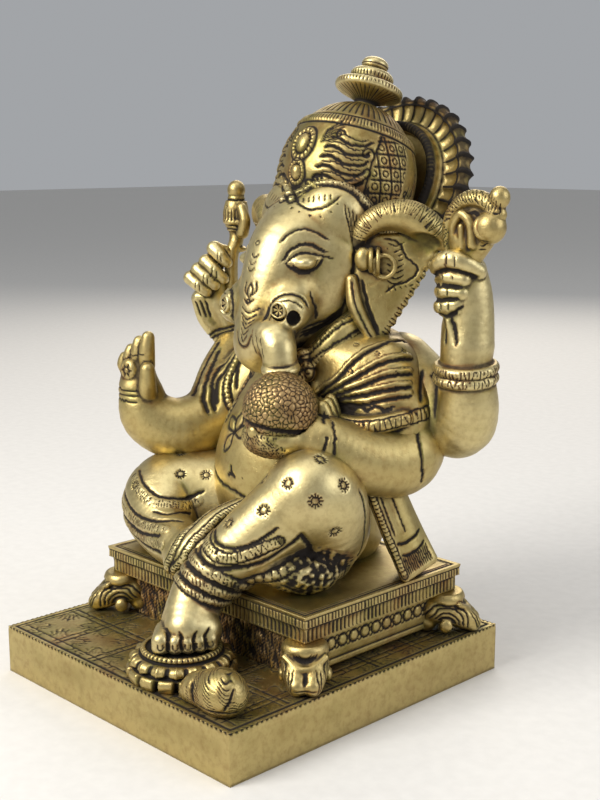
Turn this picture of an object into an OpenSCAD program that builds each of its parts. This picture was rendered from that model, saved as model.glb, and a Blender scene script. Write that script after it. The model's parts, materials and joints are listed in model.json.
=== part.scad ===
// Seated elephant-headed deity in cast brass, on a stool and a hollow plinth.
// Millimetres. +Z is up, the figure faces -Y, and its own left is +X.
// The origin is the centre of the plinth's underside.

/* [Plinth] */
// Width of the plinth, along X
plinth_w = 150; // [140:1:170]
// Depth of the plinth, along Y
plinth_d = 158; // [150:1:175]
// Height of the plinth
plinth_h = 21; // [18:0.5:26]
// Thickness of the plinth's top plate and walls
plinth_wall = 5; // [4:0.5:7]
// Thickness of the cross ribs under the plinth
rib = 5; // [4:0.5:8]

/* [Stool] */
// Width of the seat slab
seat_w = 129; // [122:0.5:132]
// Depth of the seat slab
seat_d = 95.5; // [90:0.5:100]
// Height of the stool, from the plinth to the seat's top
stool_h = 29.7; // [27:0.1:34]
// Thickness of the seat's upper tier
upper_tier = 5.2; // [4:0.1:7]
// Thickness of the seat's lower tier
lower_tier = 6.5; // [5:0.1:8]
// How far the lower tier stands in from the upper one
tier_step = 1.6; // [1:0.1:3]
// How far the apron stands in from the seat's edge
apron_in = 6; // [4:0.5:9]
// How far a foot flares out past the seat's corner, along the diagonal
foot_flare = 11; // [8:0.5:13]

/* [Figure] */
// Height of the figure, from the seat to the crown's top
figure_h = 205; // [195:1:215]
// Side-to-side place of the figure on the plinth
figure_x = 2; // [0:0.5:4]

/* [Crown and halo] */
// Lean of the crown and the finial, in degrees
crown_lean = 20; // [12:1:24]
// Radius of the halo
halo_r = 43; // [38:0.5:46]
// Thickness of the halo
halo_t = 8; // [6:0.5:10]
// Number of scallops round the halo
halo_scallops = 26; // [18:2:32]
// Radius of the finial's disc
finial_r = 15.6; // [13:0.2:17]

/* [Lotus and mouse] */
// Radius of the lotus footrest
lotus_r = 23; // [20:0.5:25]
// Height of the lotus footrest
lotus_h = 12.5; // [10:0.5:14]
// Petals in each row of the lotus
petals = 16; // [12:1:20]

/* [Fasteners] */
// Radius of the plinth screws
screw_r = 2; // [1.5:0.1:2.5]
// Radius of the bolt that holds the figure
bolt_r = 4; // [3:0.5:5]

/* [Hidden] */

// --- levels and places worked out from the driving sizes
seat_top = plinth_h + stool_h;
seat_under = seat_top - upper_tier - lower_tier;
stool_y = 15.3;
unit = figure_h / 205;
gap = 0.1;
brass = "#A8914F";
dark_brass = "#7E6A38";
pale_brass = "#C2AE74";
steel = "#8C8C88";

// --- the figure's forms, as [x, y, z, radius] of the balls that each limb runs through,
//     from the seat's top and the figure's own middle
torso_line = [[0, 34, 17, 34], [0, 27, 38, 37], [0, 36, 68, 30], [0, 41, 86, 25],
    [0, 40, 100, 21]];
shoulder_line = [[-34, 45, 82, 17], [0, 42, 86, 20], [34, 45, 82, 17]];
skull_line = [[0, 36, 106, 20], [0, 37, 121, 26], [0, 44, 135, 29]];
cheek_line = [[0, 41, 134, 28.5], [0, 29, 121, 23.5], [0, 22, 110, 18]];
trunk_line = [[0, 32, 142, 17], [0, 21, 136, 16.5], [0, 15, 127, 15], [0, 10.5, 114, 14],
    [0, 7, 105, 13], [1, 5, 97, 12], [8, 1, 98.5, 11], [15, -2, 100.5, 9.5],
    [20, -4, 97, 9], [22, -4, 89, 8]];
left_front_line = [[34, 44, 81, 18], [52, 38, 54, 17], [50, 18, 52, 14], [42, 2, 60, 11],
    [34, -6, 62, 9]];
left_rear_line = [[38, 50, 84, 17], [64, 54, 66, 15], [73, 52, 71, 12.5], [74, 50, 90, 10],
    [73, 50, 106, 9]];
right_front_line = [[-34, 44, 80, 18], [-46, 24, 58, 15.5], [-54, 4, 51, 14],
    [-63, -8, 57, 12.5], [-66, -11, 70, 9.5]];
right_rear_line = [[-38, 50, 82, 17], [-56, 52, 74, 14], [-64, 48, 84, 11],
    [-68, 46, 93, 8], [-73, 43, 104, 9]];
left_leg_line = [[26, 30, 18, 24], [40, 16, 20, 21], [45, 0, 38, 18], [45, -8, 43, 17],
    [33, -22, 28, 15], [21, -36, 12, 12.5], [15, -44, 1, 11], [17, -52, -8, 9.5],
    [22, -58, -12.5, 8]];
right_leg_line = [[-14, 32, 18, 24], [-40, 10, 19, 22.5], [-51, -6, 19, 21],
    [-34, -22, 12, 12], [-12, -28, 9, 10], [4, -27, 8, 8]];
tail_line = [[48, 36, 34, 4], [57, 42, 14, 6], [62, 44, 3, 7]];
noose_line = [[72, 50, 132, 4.5], [73, 50, 141, 7], [76, 50, 150, 8], [85, 50, 153, 7],
    [91, 50, 159, 4.5]];
goad_line = [[-66, 46, 112, 4], [-65, 48, 128, 4.5], [-66, 50, 140, 5.5],
    [-66, 50, 150, 6.5], [-67, 50, 159, 4.5]];

crown_at = [0, 50, 148];
crown_profile = [[0, -6], [27, -6], [30, 0], [29, 6], [31.5, 12], [31, 24], [27, 36],
    [21, 44], [12, 50], [0, 52]];
halo_at = [0, 88, 161];
finial_from = 49;
bowl_at = [27, -11, 73.5];
bowl_r = 15.5;
lotus_at = [19.5, -56];
mouse_at = [55, -69];
bolt_at = [figure_x, 32];
bolt_grip = 12;
washer_t = 2;
screw_in = 8;

// --- shared shapes
module ball(p, grow = 0, n = 16) translate([p[0], p[1], p[2]]) sphere(p[3] + grow, $fn = n);

// a limb: each ball is joined to the next one
module limb(line, grow = 0, n = 16)
    for (i = [0 : len(line) - 2]) hull() {
        ball(line[i], grow, n);
        ball(line[i + 1], grow, n);
    }

// puts a figure's form in its place on the seat
module on_seat() translate([figure_x, 0, seat_top]) scale(unit) children();

// a straight round bar between two points
module bar(a, b, r, n = 12) hull() {
    translate(a) sphere(r, $fn = n);
    translate(b) sphere(r, $fn = n);
}

// a circle with n round scallops on its edge
module scalloped(r, n) {
    bump = PI * r / n;
    circle(r - bump * 0.8, $fn = 64);
    for (i = [0 : n - 1]) rotate(360 / n * (i + 0.5)) translate([r - bump, 0]) circle(bump, $fn = 16);
}

// --- forms that cut their neighbours, so that the castings meet face to face
module torso_form(grow = 0) {
    limb(torso_line, grow, 24);
    limb(shoulder_line, grow);
}

module head_form(grow = 0) {
    limb(skull_line, grow, 22);
    limb(cheek_line, grow, 18);
    limb(trunk_line, grow, 16);
}

module crown_form() translate(crown_at) rotate([-crown_lean, 0, 0]) rotate_extrude($fn = 40)
    polygon(crown_profile);

module bowl_form() translate(bowl_at) sphere(bowl_r, $fn = 24);

module left_leg_form() limb(left_leg_line);

module right_leg_form() limb(right_leg_line);

// everything under the seat's top, as a block that flattens what sits on it
module under_seat() translate([0, stool_y, -60]) cube([seat_w, seat_d, 120], center = true);

// --- plinth and stool
module foot_places() for (sx = [-1, 1], sy = [-1, 1])
    translate([figure_x + sx * (seat_w / 2 - screw_in), stool_y + sy * (seat_d / 2 - screw_in), 0])
        children();

module plinth() color(brass) difference() {
    translate([-plinth_w / 2, -plinth_d / 2, 0]) cube([plinth_w, plinth_d, plinth_h]);
    difference() {
        translate([plinth_wall - plinth_w / 2, plinth_wall - plinth_d / 2, -1])
            cube([plinth_w - 2 * plinth_wall, plinth_d - 2 * plinth_wall, plinth_h - plinth_wall + 1]);
        translate([-rib / 2, -plinth_d / 2, -2]) cube([rib, plinth_d, plinth_h]);
        translate([-plinth_w / 2, -rib / 2, -2]) cube([plinth_w, rib, plinth_h]);
    }
    foot_places() cylinder(r = screw_r + 0.3, h = plinth_h + 1, $fn = 32);
}

module plinth_screws() color(steel) foot_places() {
    translate([0, 0, plinth_h - plinth_wall - 2.4]) cylinder(r = screw_r * 1.9, h = 2.4, $fn = 32);
    translate([0, 0, plinth_h - plinth_wall]) cylinder(r = screw_r, h = plinth_wall + 9, $fn = 32);
}

module seat() color(brass) translate([figure_x, stool_y, 0]) difference() {
    union() {
        translate([-seat_w / 2, -seat_d / 2, seat_top - upper_tier])
            cube([seat_w, seat_d, upper_tier]);
        translate([tier_step - seat_w / 2, tier_step - seat_d / 2, seat_under])
            cube([seat_w - 2 * tier_step, seat_d - 2 * tier_step, lower_tier]);
    }
    translate([0, bolt_at[1] - stool_y, seat_under - 1])
        cylinder(r = bolt_r + 0.3, h = stool_h, $fn = 32);
}

// one straight panel of the apron; round punch marks stand along its outer face
module apron_panel(length, height, marks) difference() {
    translate([-length / 2, 0, 0]) cube([length, 4, height]);
    for (i = [0 : marks - 1]) translate([(i - (marks - 1) / 2) * length / marks, 0, height * 0.5])
        rotate([90, 0, 0]) cylinder(r = length / marks * 0.3, h = 1.2, center = true, $fn = 20);
}

apron_w = seat_w - 2 * apron_in - 14;
apron_d = seat_d - 2 * apron_in - 14;
apron_h = seat_under - plinth_h - 2.5;

module apron_at(turn, out) translate([figure_x, stool_y, seat_under - apron_h]) rotate(turn)
    translate([0, -out, 0]) children();

module apron_front() color(dark_brass) translate([figure_x, stool_y + apron_in - seat_d / 2,
    plinth_h]) translate([-apron_w / 2, 0, 0]) cube([apron_w, 4, seat_under - plinth_h]);

module apron_back() color(brass) apron_at(180, seat_d / 2 - apron_in) apron_panel(apron_w, apron_h, 15);

module apron_left() color(brass) apron_at(90, seat_w / 2 - apron_in) apron_panel(apron_d, apron_h, 10);

module apron_right() color(brass) apron_at(-90, seat_w / 2 - apron_in) apron_panel(apron_d, apron_h, 10);

// a paw foot: an arched cap under the seat's corner that flares to a round toe
module paw_foot(sx, sy) {
    leg_h = seat_under - plinth_h;
    reach = foot_flare + 4;
    translate([figure_x + sx * seat_w / 2, stool_y + sy * seat_d / 2, plinth_h]) difference() {
        rotate(atan2(sy, sx)) rotate([90, 0, 0]) translate([0, 0, -7]) linear_extrude(14) difference() {
            union() {
                translate([-21, 0]) square([18, leg_h]);
                translate([-4, 0]) square([reach - 1, 6]);
                translate([reach - 7, 5]) circle(5, $fn = 24);
                translate([-5, leg_h - 6]) circle(6, $fn = 24);
                translate([-5, 0]) square([7, leg_h - 6]);
            }
            translate([5, 13]) circle(4.5, $fn = 24);
        }
        translate([-sx * screw_in, -sy * screw_in, -1]) cylinder(r = screw_r + 0.02, h = 10.2, $fn = 32);
    }
}

module foot_front_left() color(pale_brass) paw_foot(1, -1);

module foot_front_right() color(pale_brass) paw_foot(-1, -1);

module foot_back_left() color(pale_brass) paw_foot(1, 1);

module foot_back_right() color(pale_brass) paw_foot(-1, 1);

module figure_bolt() color(steel) translate([bolt_at[0], bolt_at[1], seat_under - washer_t]) {
    translate([0, 0, -5]) cylinder(r = bolt_r * 1.8, h = 5, $fn = 6);
    cylinder(r = bolt_r, h = washer_t + upper_tier + lower_tier + bolt_grip, $fn = 32);
}

module bolt_washer() color(steel) translate([bolt_at[0], bolt_at[1], seat_under - washer_t])
    difference() {
        cylinder(r = bolt_r * 2.2, h = washer_t, $fn = 40);
        translate([0, 0, -1]) cylinder(r = bolt_r + 0.3, h = washer_t + 2, $fn = 32);
    }

// --- the figure
module torso() color(brass) difference() {
    on_seat() difference() {
        torso_form();
        under_seat();
        translate([0, 32, bolt_grip + 2]) cylinder(r = 13, h = 66, $fn = 24);
    }
    translate([bolt_at[0], bolt_at[1], seat_top - 1])
        cylinder(r = bolt_r + 0.05, h = bolt_grip + 4, $fn = 32);
}

module head() color(pale_brass) on_seat() difference() {
    head_form();
    torso_form();
    bowl_form();
    translate([0, 38, 108]) cylinder(r = 12, h = 32, $fn = 20);
}

// a cut tusk in its ringed socket, beside the root of the trunk
module tusk(side) on_seat() difference() {
    translate([side * 14, 8, 114]) rotate([65, 0, side * 12]) union() {
        cylinder(r = 4.6, h = 12, $fn = 24);
        cylinder(r = 3.4, h = 15, $fn = 24);
    }
    head_form();
    bowl_form();
}

module left_tusk() color(pale_brass) tusk(1);

module right_tusk() color(pale_brass) tusk(-1);

// a broad ear with a rolled top rim; side is 1 for the figure's left
module ear(side) on_seat() difference() {
    union() {
        hull() {
            ball([side * 24, 36, 144, 3]);
            ball([side * 52, 60, 143.5, 3]);
            ball([side * 24, 32, 110, 3]);
            ball([side * 38, 37, 100, 2.4]);
        }
        limb([[side * 28, 37, 143, 4], [side * 35, 42, 149, 5], [side * 43, 50, 152, 5],
            [side * 53, 60, 145, 4]]);
    }
    head_form();
    torso_form();
    crown_form();
}

module left_ear() color(brass) ear(1);

module right_ear() color(brass) ear(-1);

module crown() color(brass) on_seat() difference() {
    crown_form();
    head_form();
}

module crown_finial() color(pale_brass) on_seat() translate(crown_at) rotate([-crown_lean, 0, 0])
    translate([0, 0, finial_from]) rotate_extrude($fn = 48) polygon([[0, 1], [5, 0.5], [5, 4],
        [finial_r - 1, 9], [finial_r, 10.5], [finial_r, 12], [9.5, 13.5], [9.5, 18.5], [6, 19.5],
        [6.4, 22], [4.5, 25], [0, 26]]);

module halo() color(brass) on_seat() difference() {
    translate(halo_at) rotate([-crown_lean, 0, 0]) rotate([90, 0, 0])
        translate([0, 0, -halo_t / 2]) linear_extrude(halo_t) scalloped(halo_r, halo_scallops);
    crown_form();
    head_form();
    torso_form();
}

// four fingers side by side; from is the first knuckle, step the way to the next one
module fingers(from, step, way, r) for (i = [0 : 3]) bar(from + i * step, from + i * step + way, r);

module left_front_form() {
    limb(left_front_line);
    limb([[34, -6, 62, 9], [26, -12, 60, 8], [20, -15, 62, 5]]);
}

module left_front_arm() color(brass) on_seat() difference() {
    left_front_form();
    fingers([36, -8, 62], [2, -4, 0.5], [3, -3, 12], 2.6);
    torso_form();
    bowl_form();
    left_leg_form();
}

module sweets_bowl() color(dark_brass) on_seat() bowl_form();

module left_rear_arm() color(pale_brass) on_seat() difference() {
    union() {
        limb(left_rear_line);
        ball([72, 50, 119, 10.5]);
        fingers([66, 42, 110], [0, 0, 5.4], [13, 0, 0], 3.1);
    }
    torso_form();
    limb(left_front_line);
    limb(noose_line, gap);
}

module noose() color(brass) on_seat() limb(noose_line, 0, 14);

module right_rear_arm() color(pale_brass) on_seat() difference() {
    union() {
        limb(right_rear_line);
        ball([-74, 43, 112, 10]);
        fingers([-80, 33, 108], [3.2, 1.6, 5.4], [9, 4, -4], 3.6);
    }
    torso_form();
    limb(right_front_line);
    limb(goad_line, gap);
}

module goad() color(brass) on_seat() limb(goad_line, 0, 14);

module right_front_arm() color(pale_brass) on_seat() difference() {
    union() {
        limb(right_front_line);
        hull() {
            ball([-66, -12, 74, 7]);
            ball([-62, -14, 86, 5]);
            ball([-69, -10, 87, 5]);
        }
        fingers([-59, -14, 86], [-3.8, 1.8, 0], [-0.5, -1, 13], 2.5);
    }
    torso_form();
    right_leg_form();
}

module left_leg() color(pale_brass) difference() {
    on_seat() difference() {
        left_leg_form();
        torso_form();
        right_leg_form();
        under_seat();
    }
    translate([lotus_at[0], lotus_at[1], plinth_h]) cylinder(r = lotus_r, h = lotus_h, $fn = 32);
}

module right_leg() color(brass) on_seat() difference() {
    right_leg_form();
    torso_form();
    under_seat();
}

// the pleated cloth over the left shoulder and upper arm
module shawl() color(brass) on_seat() difference() {
    union() {
        limb([[16, 36, 88, 19], [34, 44, 81, 20.5], [44, 41, 68, 20]]);
        limb([[30, 22, 84, 9], [40, 28, 72, 10], [44, 36, 62, 20]]);
    }
    torso_form();
    head_form();
    left_front_form();
    limb(left_rear_line);
}

// the end of the waist cloth, which falls behind the left thigh on to the seat
module cloth_tail() color(brass) on_seat() difference() {
    union() {
        limb(tail_line);
        limb([[40, 44, 26, 8], [52, 46, 12, 9], [56, 46, 3, 9]]);
        limb([[44, 34, 30, 6], [58, 36, 10, 6]]);
        limb([[58, 36, 10, 6], [62, 40, 3, 6]]);
    }
    torso_form();
    left_leg_form();
    under_seat();
}

// --- lotus and mouse
module lotus_footrest() color(brass) translate([lotus_at[0], lotus_at[1], plinth_h]) {
    linear_extrude(lotus_h * 0.42) scalloped(lotus_r, petals);
    translate([0, 0, lotus_h * 0.42]) linear_extrude(lotus_h * 0.38)
        scalloped(lotus_r * 0.86, petals);
    translate([0, 0, lotus_h * 0.8]) cylinder(r = lotus_r * 0.66, h = lotus_h * 0.2, $fn = 48);
}

module mouse() color(dark_brass) difference() {
    translate([mouse_at[0], mouse_at[1], plinth_h]) union() {
        limb([[4, 1, 7.5, 9.5], [-2, 1, 8.5, 8], [-8, -1, 7, 6.5]]);
        limb([[5, 3, 4, 9], [0, 4, 5, 8], [-7, 2, 4, 6]]);
        limb([[-8, -1, 7, 6.5], [-12, -3, 4.5, 3.5]]);
        limb([[-7, 4, 12, 2.4], [-6, 5, 14, 2.2]]);
        limb([[9, 7, 3, 3], [13, 6, 2.5, 2.2], [13, 1, 2.5, 2]]);
    }
    translate([lotus_at[0], lotus_at[1], plinth_h - 1]) cylinder(r = lotus_r + 0.2,
        h = lotus_h + 4, $fn = 48);
    translate([0, 0, plinth_h - 40]) cube([400, 400, 80], center = true);
}

plinth();
plinth_screws();
seat();
apron_front();
apron_back();
apron_left();
apron_right();
foot_front_left();
foot_front_right();
foot_back_left();
foot_back_right();
figure_bolt();
bolt_washer();
torso();
head();
left_tusk();
right_tusk();
left_ear();
right_ear();
crown();
crown_finial();
halo();
left_front_arm();
sweets_bowl();
left_rear_arm();
noose();
right_rear_arm();
goad();
right_front_arm();
left_leg();
right_leg();
shawl();
cloth_tail();
lotus_footrest();
mouse();
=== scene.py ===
"""Looks of a seated elephant-headed figure in cast brass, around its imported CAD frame.

Lengths inside the shapes are in millimetres in the figure's own space: the origin is on the
seat's top, at the figure's middle, +Z is up, the figure faces -Y and its left is +X.
"""

import json
import math

import bpy
import numpy as np
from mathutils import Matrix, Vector


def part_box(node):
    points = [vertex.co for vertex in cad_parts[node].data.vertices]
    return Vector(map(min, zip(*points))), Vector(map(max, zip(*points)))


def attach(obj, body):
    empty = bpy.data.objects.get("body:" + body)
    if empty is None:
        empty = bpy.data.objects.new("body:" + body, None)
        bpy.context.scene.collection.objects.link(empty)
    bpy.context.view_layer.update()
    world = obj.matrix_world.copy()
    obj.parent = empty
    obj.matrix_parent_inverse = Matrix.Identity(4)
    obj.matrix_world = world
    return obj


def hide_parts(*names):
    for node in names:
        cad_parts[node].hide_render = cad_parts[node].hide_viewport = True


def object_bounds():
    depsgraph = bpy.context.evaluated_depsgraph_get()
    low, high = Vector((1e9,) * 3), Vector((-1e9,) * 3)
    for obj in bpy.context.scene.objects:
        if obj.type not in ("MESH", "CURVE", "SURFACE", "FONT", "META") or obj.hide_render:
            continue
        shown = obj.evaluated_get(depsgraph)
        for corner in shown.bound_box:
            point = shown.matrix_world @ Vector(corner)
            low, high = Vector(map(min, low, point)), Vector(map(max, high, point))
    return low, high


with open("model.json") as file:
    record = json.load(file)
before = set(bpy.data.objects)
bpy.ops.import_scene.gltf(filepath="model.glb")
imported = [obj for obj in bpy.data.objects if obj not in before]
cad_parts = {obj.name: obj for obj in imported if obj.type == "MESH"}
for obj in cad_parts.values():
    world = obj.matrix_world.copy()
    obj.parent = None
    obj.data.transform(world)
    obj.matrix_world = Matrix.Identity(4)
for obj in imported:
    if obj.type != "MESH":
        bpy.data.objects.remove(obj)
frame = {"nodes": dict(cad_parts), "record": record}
CAD_LOW, CAD_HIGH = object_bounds()

MM = 0.001
SEAT_LOW, SEAT_HIGH = (np.array(corner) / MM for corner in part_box("seat"))
FIGURE = np.array([(SEAT_LOW[0] + SEAT_HIGH[0]) / 2, 0.0, SEAT_HIGH[2]])


# ---------------------------------------------------------------- shaping tools
def spline(points, gap=1.5):
    """A smooth path through points: Catmull-Rom cubics, cut into steps of about gap."""
    p = np.array(points, float)
    if len(p) < 3:
        count = max(2, int(np.linalg.norm(p[1] - p[0]) / gap) + 1)
        return p[0] + (p[1] - p[0]) * np.linspace(0, 1, count)[:, None]
    ends = np.vstack([2 * p[0] - p[1], p, 2 * p[-1] - p[-2]])
    parts = []
    for a, b, c, d in zip(ends, ends[1:], ends[2:], ends[3:]):
        count = max(2, int(np.linalg.norm((c - b)[:3]) / gap) + 1)
        t = np.linspace(0, 1, count, endpoint=False)[:, None]
        parts.append(0.5 * (2 * b + (c - a) * t + (2 * a - 5 * b + 4 * c - d) * t**2
                            + (3 * b - a - 3 * c + d) * t**3))
    return np.vstack(parts + [p[-1:]])


# distances, in millimetres, that stand for empty space, for no shape yet, and for the block's rim
EMPTY, NOWHERE, OUTSIDE = 9, 30, 5


class Clay:
    """A block of space that holds, at points one step apart, the distance to a modelled surface."""

    def __init__(self, low, high, step=0.6):
        self.step = step
        self.axes = [np.arange(a, b + step, step, dtype=np.float32) for a, b in zip(low, high)]
        self.field = np.full([len(a) for a in self.axes], EMPTY, np.float32)

    def window(self, low, high):
        """The part of the block between two corners, as slices and open coordinate arrays."""
        cuts = [slice(*np.searchsorted(a, [l, h])) for a, l, h in zip(self.axes, low, high)]
        open_axes = np.ix_(*[a[c] for a, c in zip(self.axes, cuts)])
        return tuple(cuts), open_axes

    def mix(self, cuts, distance, blend, cut):
        """Joins a shape to the clay, or cuts it away, with a fillet of about blend."""
        if not distance.size:
            return
        sign = -1 if cut else 1
        a, b = sign * self.field[cuts], distance
        if blend:
            h = np.clip(0.5 + 0.5 * (a - b) / blend, 0, 1)
            joined = a + (b - a) * h - blend * h * (1 - h)
        else:
            joined = np.minimum(a, b)
        self.field[cuts] = sign * joined

    def limb(self, line, blend=2.0, cut=False, grow=0.0, smooth=True):
        """A round bar of changing radius along a path: distance to the path less its radius."""
        path = spline(line, 3.0) if smooth and len(line) > 2 else np.array(line, float)
        whole = np.full(self.field.shape, NOWHERE, np.float32)
        spare = grow + 4 + blend
        for a, b in zip(path, path[1:]):
            reach = max(a[3], b[3]) + spare
            cuts, (x, y, z) = self.window(np.minimum(a, b)[:3] - reach, np.maximum(a, b)[:3] + reach)
            d = (b - a)[:3].astype(np.float32)
            px, py, pz = x - np.float32(a[0]), y - np.float32(a[1]), z - np.float32(a[2])
            t = np.clip((px * d[0] + py * d[1] + pz * d[2]) / max(float(d @ d), 1e-6), 0, 1)
            off = np.sqrt((px - t * d[0])**2 + (py - t * d[1])**2 + (pz - t * d[2])**2)
            radius = np.float32(a[3] + grow) + t * np.float32(b[3] - a[3])
            whole[cuts] = np.minimum(whole[cuts], off - radius)
        reach = path[:, 3].max() + spare
        cuts, _ = self.window(path[:, :3].min(0) - reach, path[:, :3].max(0) + reach)
        self.mix(cuts, whole[cuts], blend, cut)
        return self

    def ball(self, centre, radii, blend=2.0, cut=False, turn=0.0):
        """An ellipsoid turned about Z: the distance to it is worked out from its radii."""
        centre, radii = np.array(centre, float), np.array(radii, float) * np.ones(3)
        reach = radii.max() + 3 + blend
        cuts, (x, y, z) = self.window(centre - reach, centre + reach)
        x, y, z = x - centre[0], y - centre[1], z - centre[2]
        if turn:
            c, s = math.cos(turn), math.sin(turn)
            x, y = x * c + y * s, y * c - x * s
        k = np.sqrt((x / radii[0])**2 + (y / radii[1])**2 + (z / radii[2])**2)
        g = np.sqrt((x / radii[0]**2)**2 + (y / radii[1]**2)**2 + (z / radii[2]**2)**2)
        self.mix(cuts, k * (k - 1) / np.maximum(g, 1e-6), blend, cut)
        return self

    def ring(self, centre, way, radius, thick, blend=0.6):
        """A torus: distance to a circle round an axis, less its thickness."""
        centre, way = np.array(centre, float), np.array(way, float) / np.linalg.norm(way)
        reach = radius + thick + 3
        cuts, (x, y, z) = self.window(centre - reach, centre + reach)
        x, y, z = x - centre[0], y - centre[1], z - centre[2]
        up = x * way[0] + y * way[1] + z * way[2]
        out = np.sqrt(np.maximum(x * x + y * y + z * z - up * up, 0)) - radius
        self.mix(cuts, np.sqrt(out**2 + up**2) - thick, blend, False)
        return self

    def half(self, point, way):
        """Cuts away what lies past a plane through point, on the side that way points to."""
        x, y, z = np.ix_(*self.axes)
        way = np.array(way, float) / np.linalg.norm(way)
        d = (x - point[0]) * way[0] + (y - point[1]) * way[1] + (z - point[2]) * way[2]
        self.mix((slice(None),) * 3, np.float32(-1) * d.astype(np.float32), 0, True)
        return self

    def skin(self):
        """The surface where the distance is nought. Each cell that it crosses gets one corner,
        the mean of the crossings on the cell's edges, and each crossed edge gets one quad."""
        f = self.field
        f[[0, -1]] = f[:, [0, -1]] = f[:, :, [0, -1]] = OUTSIDE
        inside = f < 0
        shape = np.array(f.shape) - 1
        corners = [(i, j, k) for i in (0, 1) for j in (0, 1) for k in (0, 1)]
        total = sum(inside[i:shape[0] + i, j:shape[1] + j, k:shape[2] + k].astype(np.int8)
                    for i, j, k in corners)
        cells = np.argwhere((total > 0) & (total < 8))
        place = np.zeros((len(cells), 3))
        count = np.zeros(len(cells))
        for axis in range(3):
            step = np.eye(3, dtype=int)[axis]
            for c in corners:
                if c[axis]:
                    continue
                a = f[tuple((cells + c).T)]
                b = f[tuple((cells + c + step).T)]
                crossed = (a < 0) != (b < 0)
                t = np.where(crossed, a / np.where(crossed, a - b, 1), 0)
                place += (np.array(c) + t[:, None] * step) * crossed[:, None]
                count += crossed
        points = (cells + place / count[:, None]) * self.step + [a[0] for a in self.axes]
        number = np.full(shape, -1, np.int32)
        number[tuple(cells.T)] = np.arange(len(cells))
        quads = []
        for axis in range(3):
            one, two = np.eye(3, dtype=int)[(axis + 1) % 3], np.eye(3, dtype=int)[(axis + 2) % 3]
            step = np.eye(3, dtype=int)[axis]
            a = inside[tuple(slice(0, n - s) for n, s in zip(f.shape, step))]
            b = inside[tuple(slice(s, n) for n, s in zip(f.shape, step))]
            for crossed, flip in ((a & ~b, False), (~a & b, True)):
                e = np.argwhere(crossed)
                quad = np.stack([number[tuple((e - o).T)] for o in (one + two, two, 0 * one, one)], 1)
                quads.append(quad[:, ::-1] if flip else quad)
        return Piece(points, np.vstack(quads))


def grid_faces(rows, columns, close_columns=False):
    """Quads between the neighbours of a grid of points, numbered row by row."""
    i = np.arange(rows - 1)
    j = np.arange(columns if close_columns else columns - 1)
    i, j = (a.ravel() for a in np.meshgrid(i, j, indexing="ij"))
    i2, j2 = i + 1, (j + 1) % columns
    return np.stack([i * columns + j, i2 * columns + j, i2 * columns + j2, i * columns + j2], 1)


def weld(patches):
    """Grids of points, each rows x columns x 3, made one surface by joining equal points. A grid
    faces the way of its rows' direction crossed with its columns'."""
    points = np.vstack([patch.reshape(-1, 3) for patch in patches])
    starts = np.cumsum([0] + [patch.shape[0] * patch.shape[1] for patch in patches])
    quads = np.vstack([grid_faces(*patch.shape[:2]) + start for patch, start in zip(patches, starts)])
    _, first, back = np.unique(np.round(points, 3), axis=0, return_index=True, return_inverse=True)
    return Piece(points[first], back.ravel()[quads])


def flat_grid(corner, along, across, step):
    """A flat grid that starts at a corner and runs along one edge and across by another."""
    along, across = np.array(along, float), np.array(across, float)
    u = np.linspace(0, 1, int(round(np.linalg.norm(along) / step)) + 1)
    v = np.linspace(0, 1, int(round(np.linalg.norm(across) / step)) + 1)
    return corner + u[:, None, None] * along + v[None, :, None] * across


def block(low, high, step):
    """A box of six flat grids that meet point to point."""
    low, high = np.array(low, float), np.array(high, float)
    x, y, z = np.diag(high - low)
    return weld([flat_grid(low + z, x, y, step), flat_grid(low, y, x, step),
                 flat_grid(low, x, z, step), flat_grid(low + y, z, x, step),
                 flat_grid(low, z, y, step), flat_grid(low + x, y, z, step)])


def moulded(centre, half_x, half_y, profile, step):
    """A flat-topped slab: a grid on top, and below its edge a profile of [inset, height] carried
    round the rectangle. The last row is closed by one flat face."""
    count_x, count_y = (int(round(2 * h / step)) for h in (half_x, half_y))
    top = flat_grid(np.array([-half_x, -half_y, 0]) + centre, [2 * half_x, 0, 0], [0, 2 * half_y, 0], step)
    corners = np.array([[-1, -1], [1, -1], [1, 1], [-1, 1]])
    inset, height = np.array(profile, float).T
    patches = [top]
    for k, count in zip(range(4), (count_x, count_y) * 2):
        f = np.linspace(0, 1, count + 1)[None, :, None]
        half = np.stack([half_x - inset, half_y - inset], 1)[:, None, :]
        flat = half * (corners[k] * (1 - f) + corners[(k + 1) % 4] * f)
        rise = np.broadcast_to(height[:, None, None], flat.shape[:2] + (1,))
        patches.append(np.concatenate([flat, rise], 2) + centre)
    piece = weld(patches)
    half = np.array([half_x, half_y]) - inset[-1]
    edge = [half * (corners[k] + (corners[(k + 1) % 4] - corners[k]) * i / count)
            for k, count in zip(range(4), (count_x, count_y) * 2) for i in range(count)]
    edge = np.column_stack([edge, np.full(len(edge), height[-1])]) + centre
    place = {tuple(p): i for i, p in enumerate(np.round(piece.points, 2).tolist())}
    piece.lids.append(np.array([place[tuple(p)] for p in np.round(edge, 2).tolist()])[::-1])
    return piece


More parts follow.
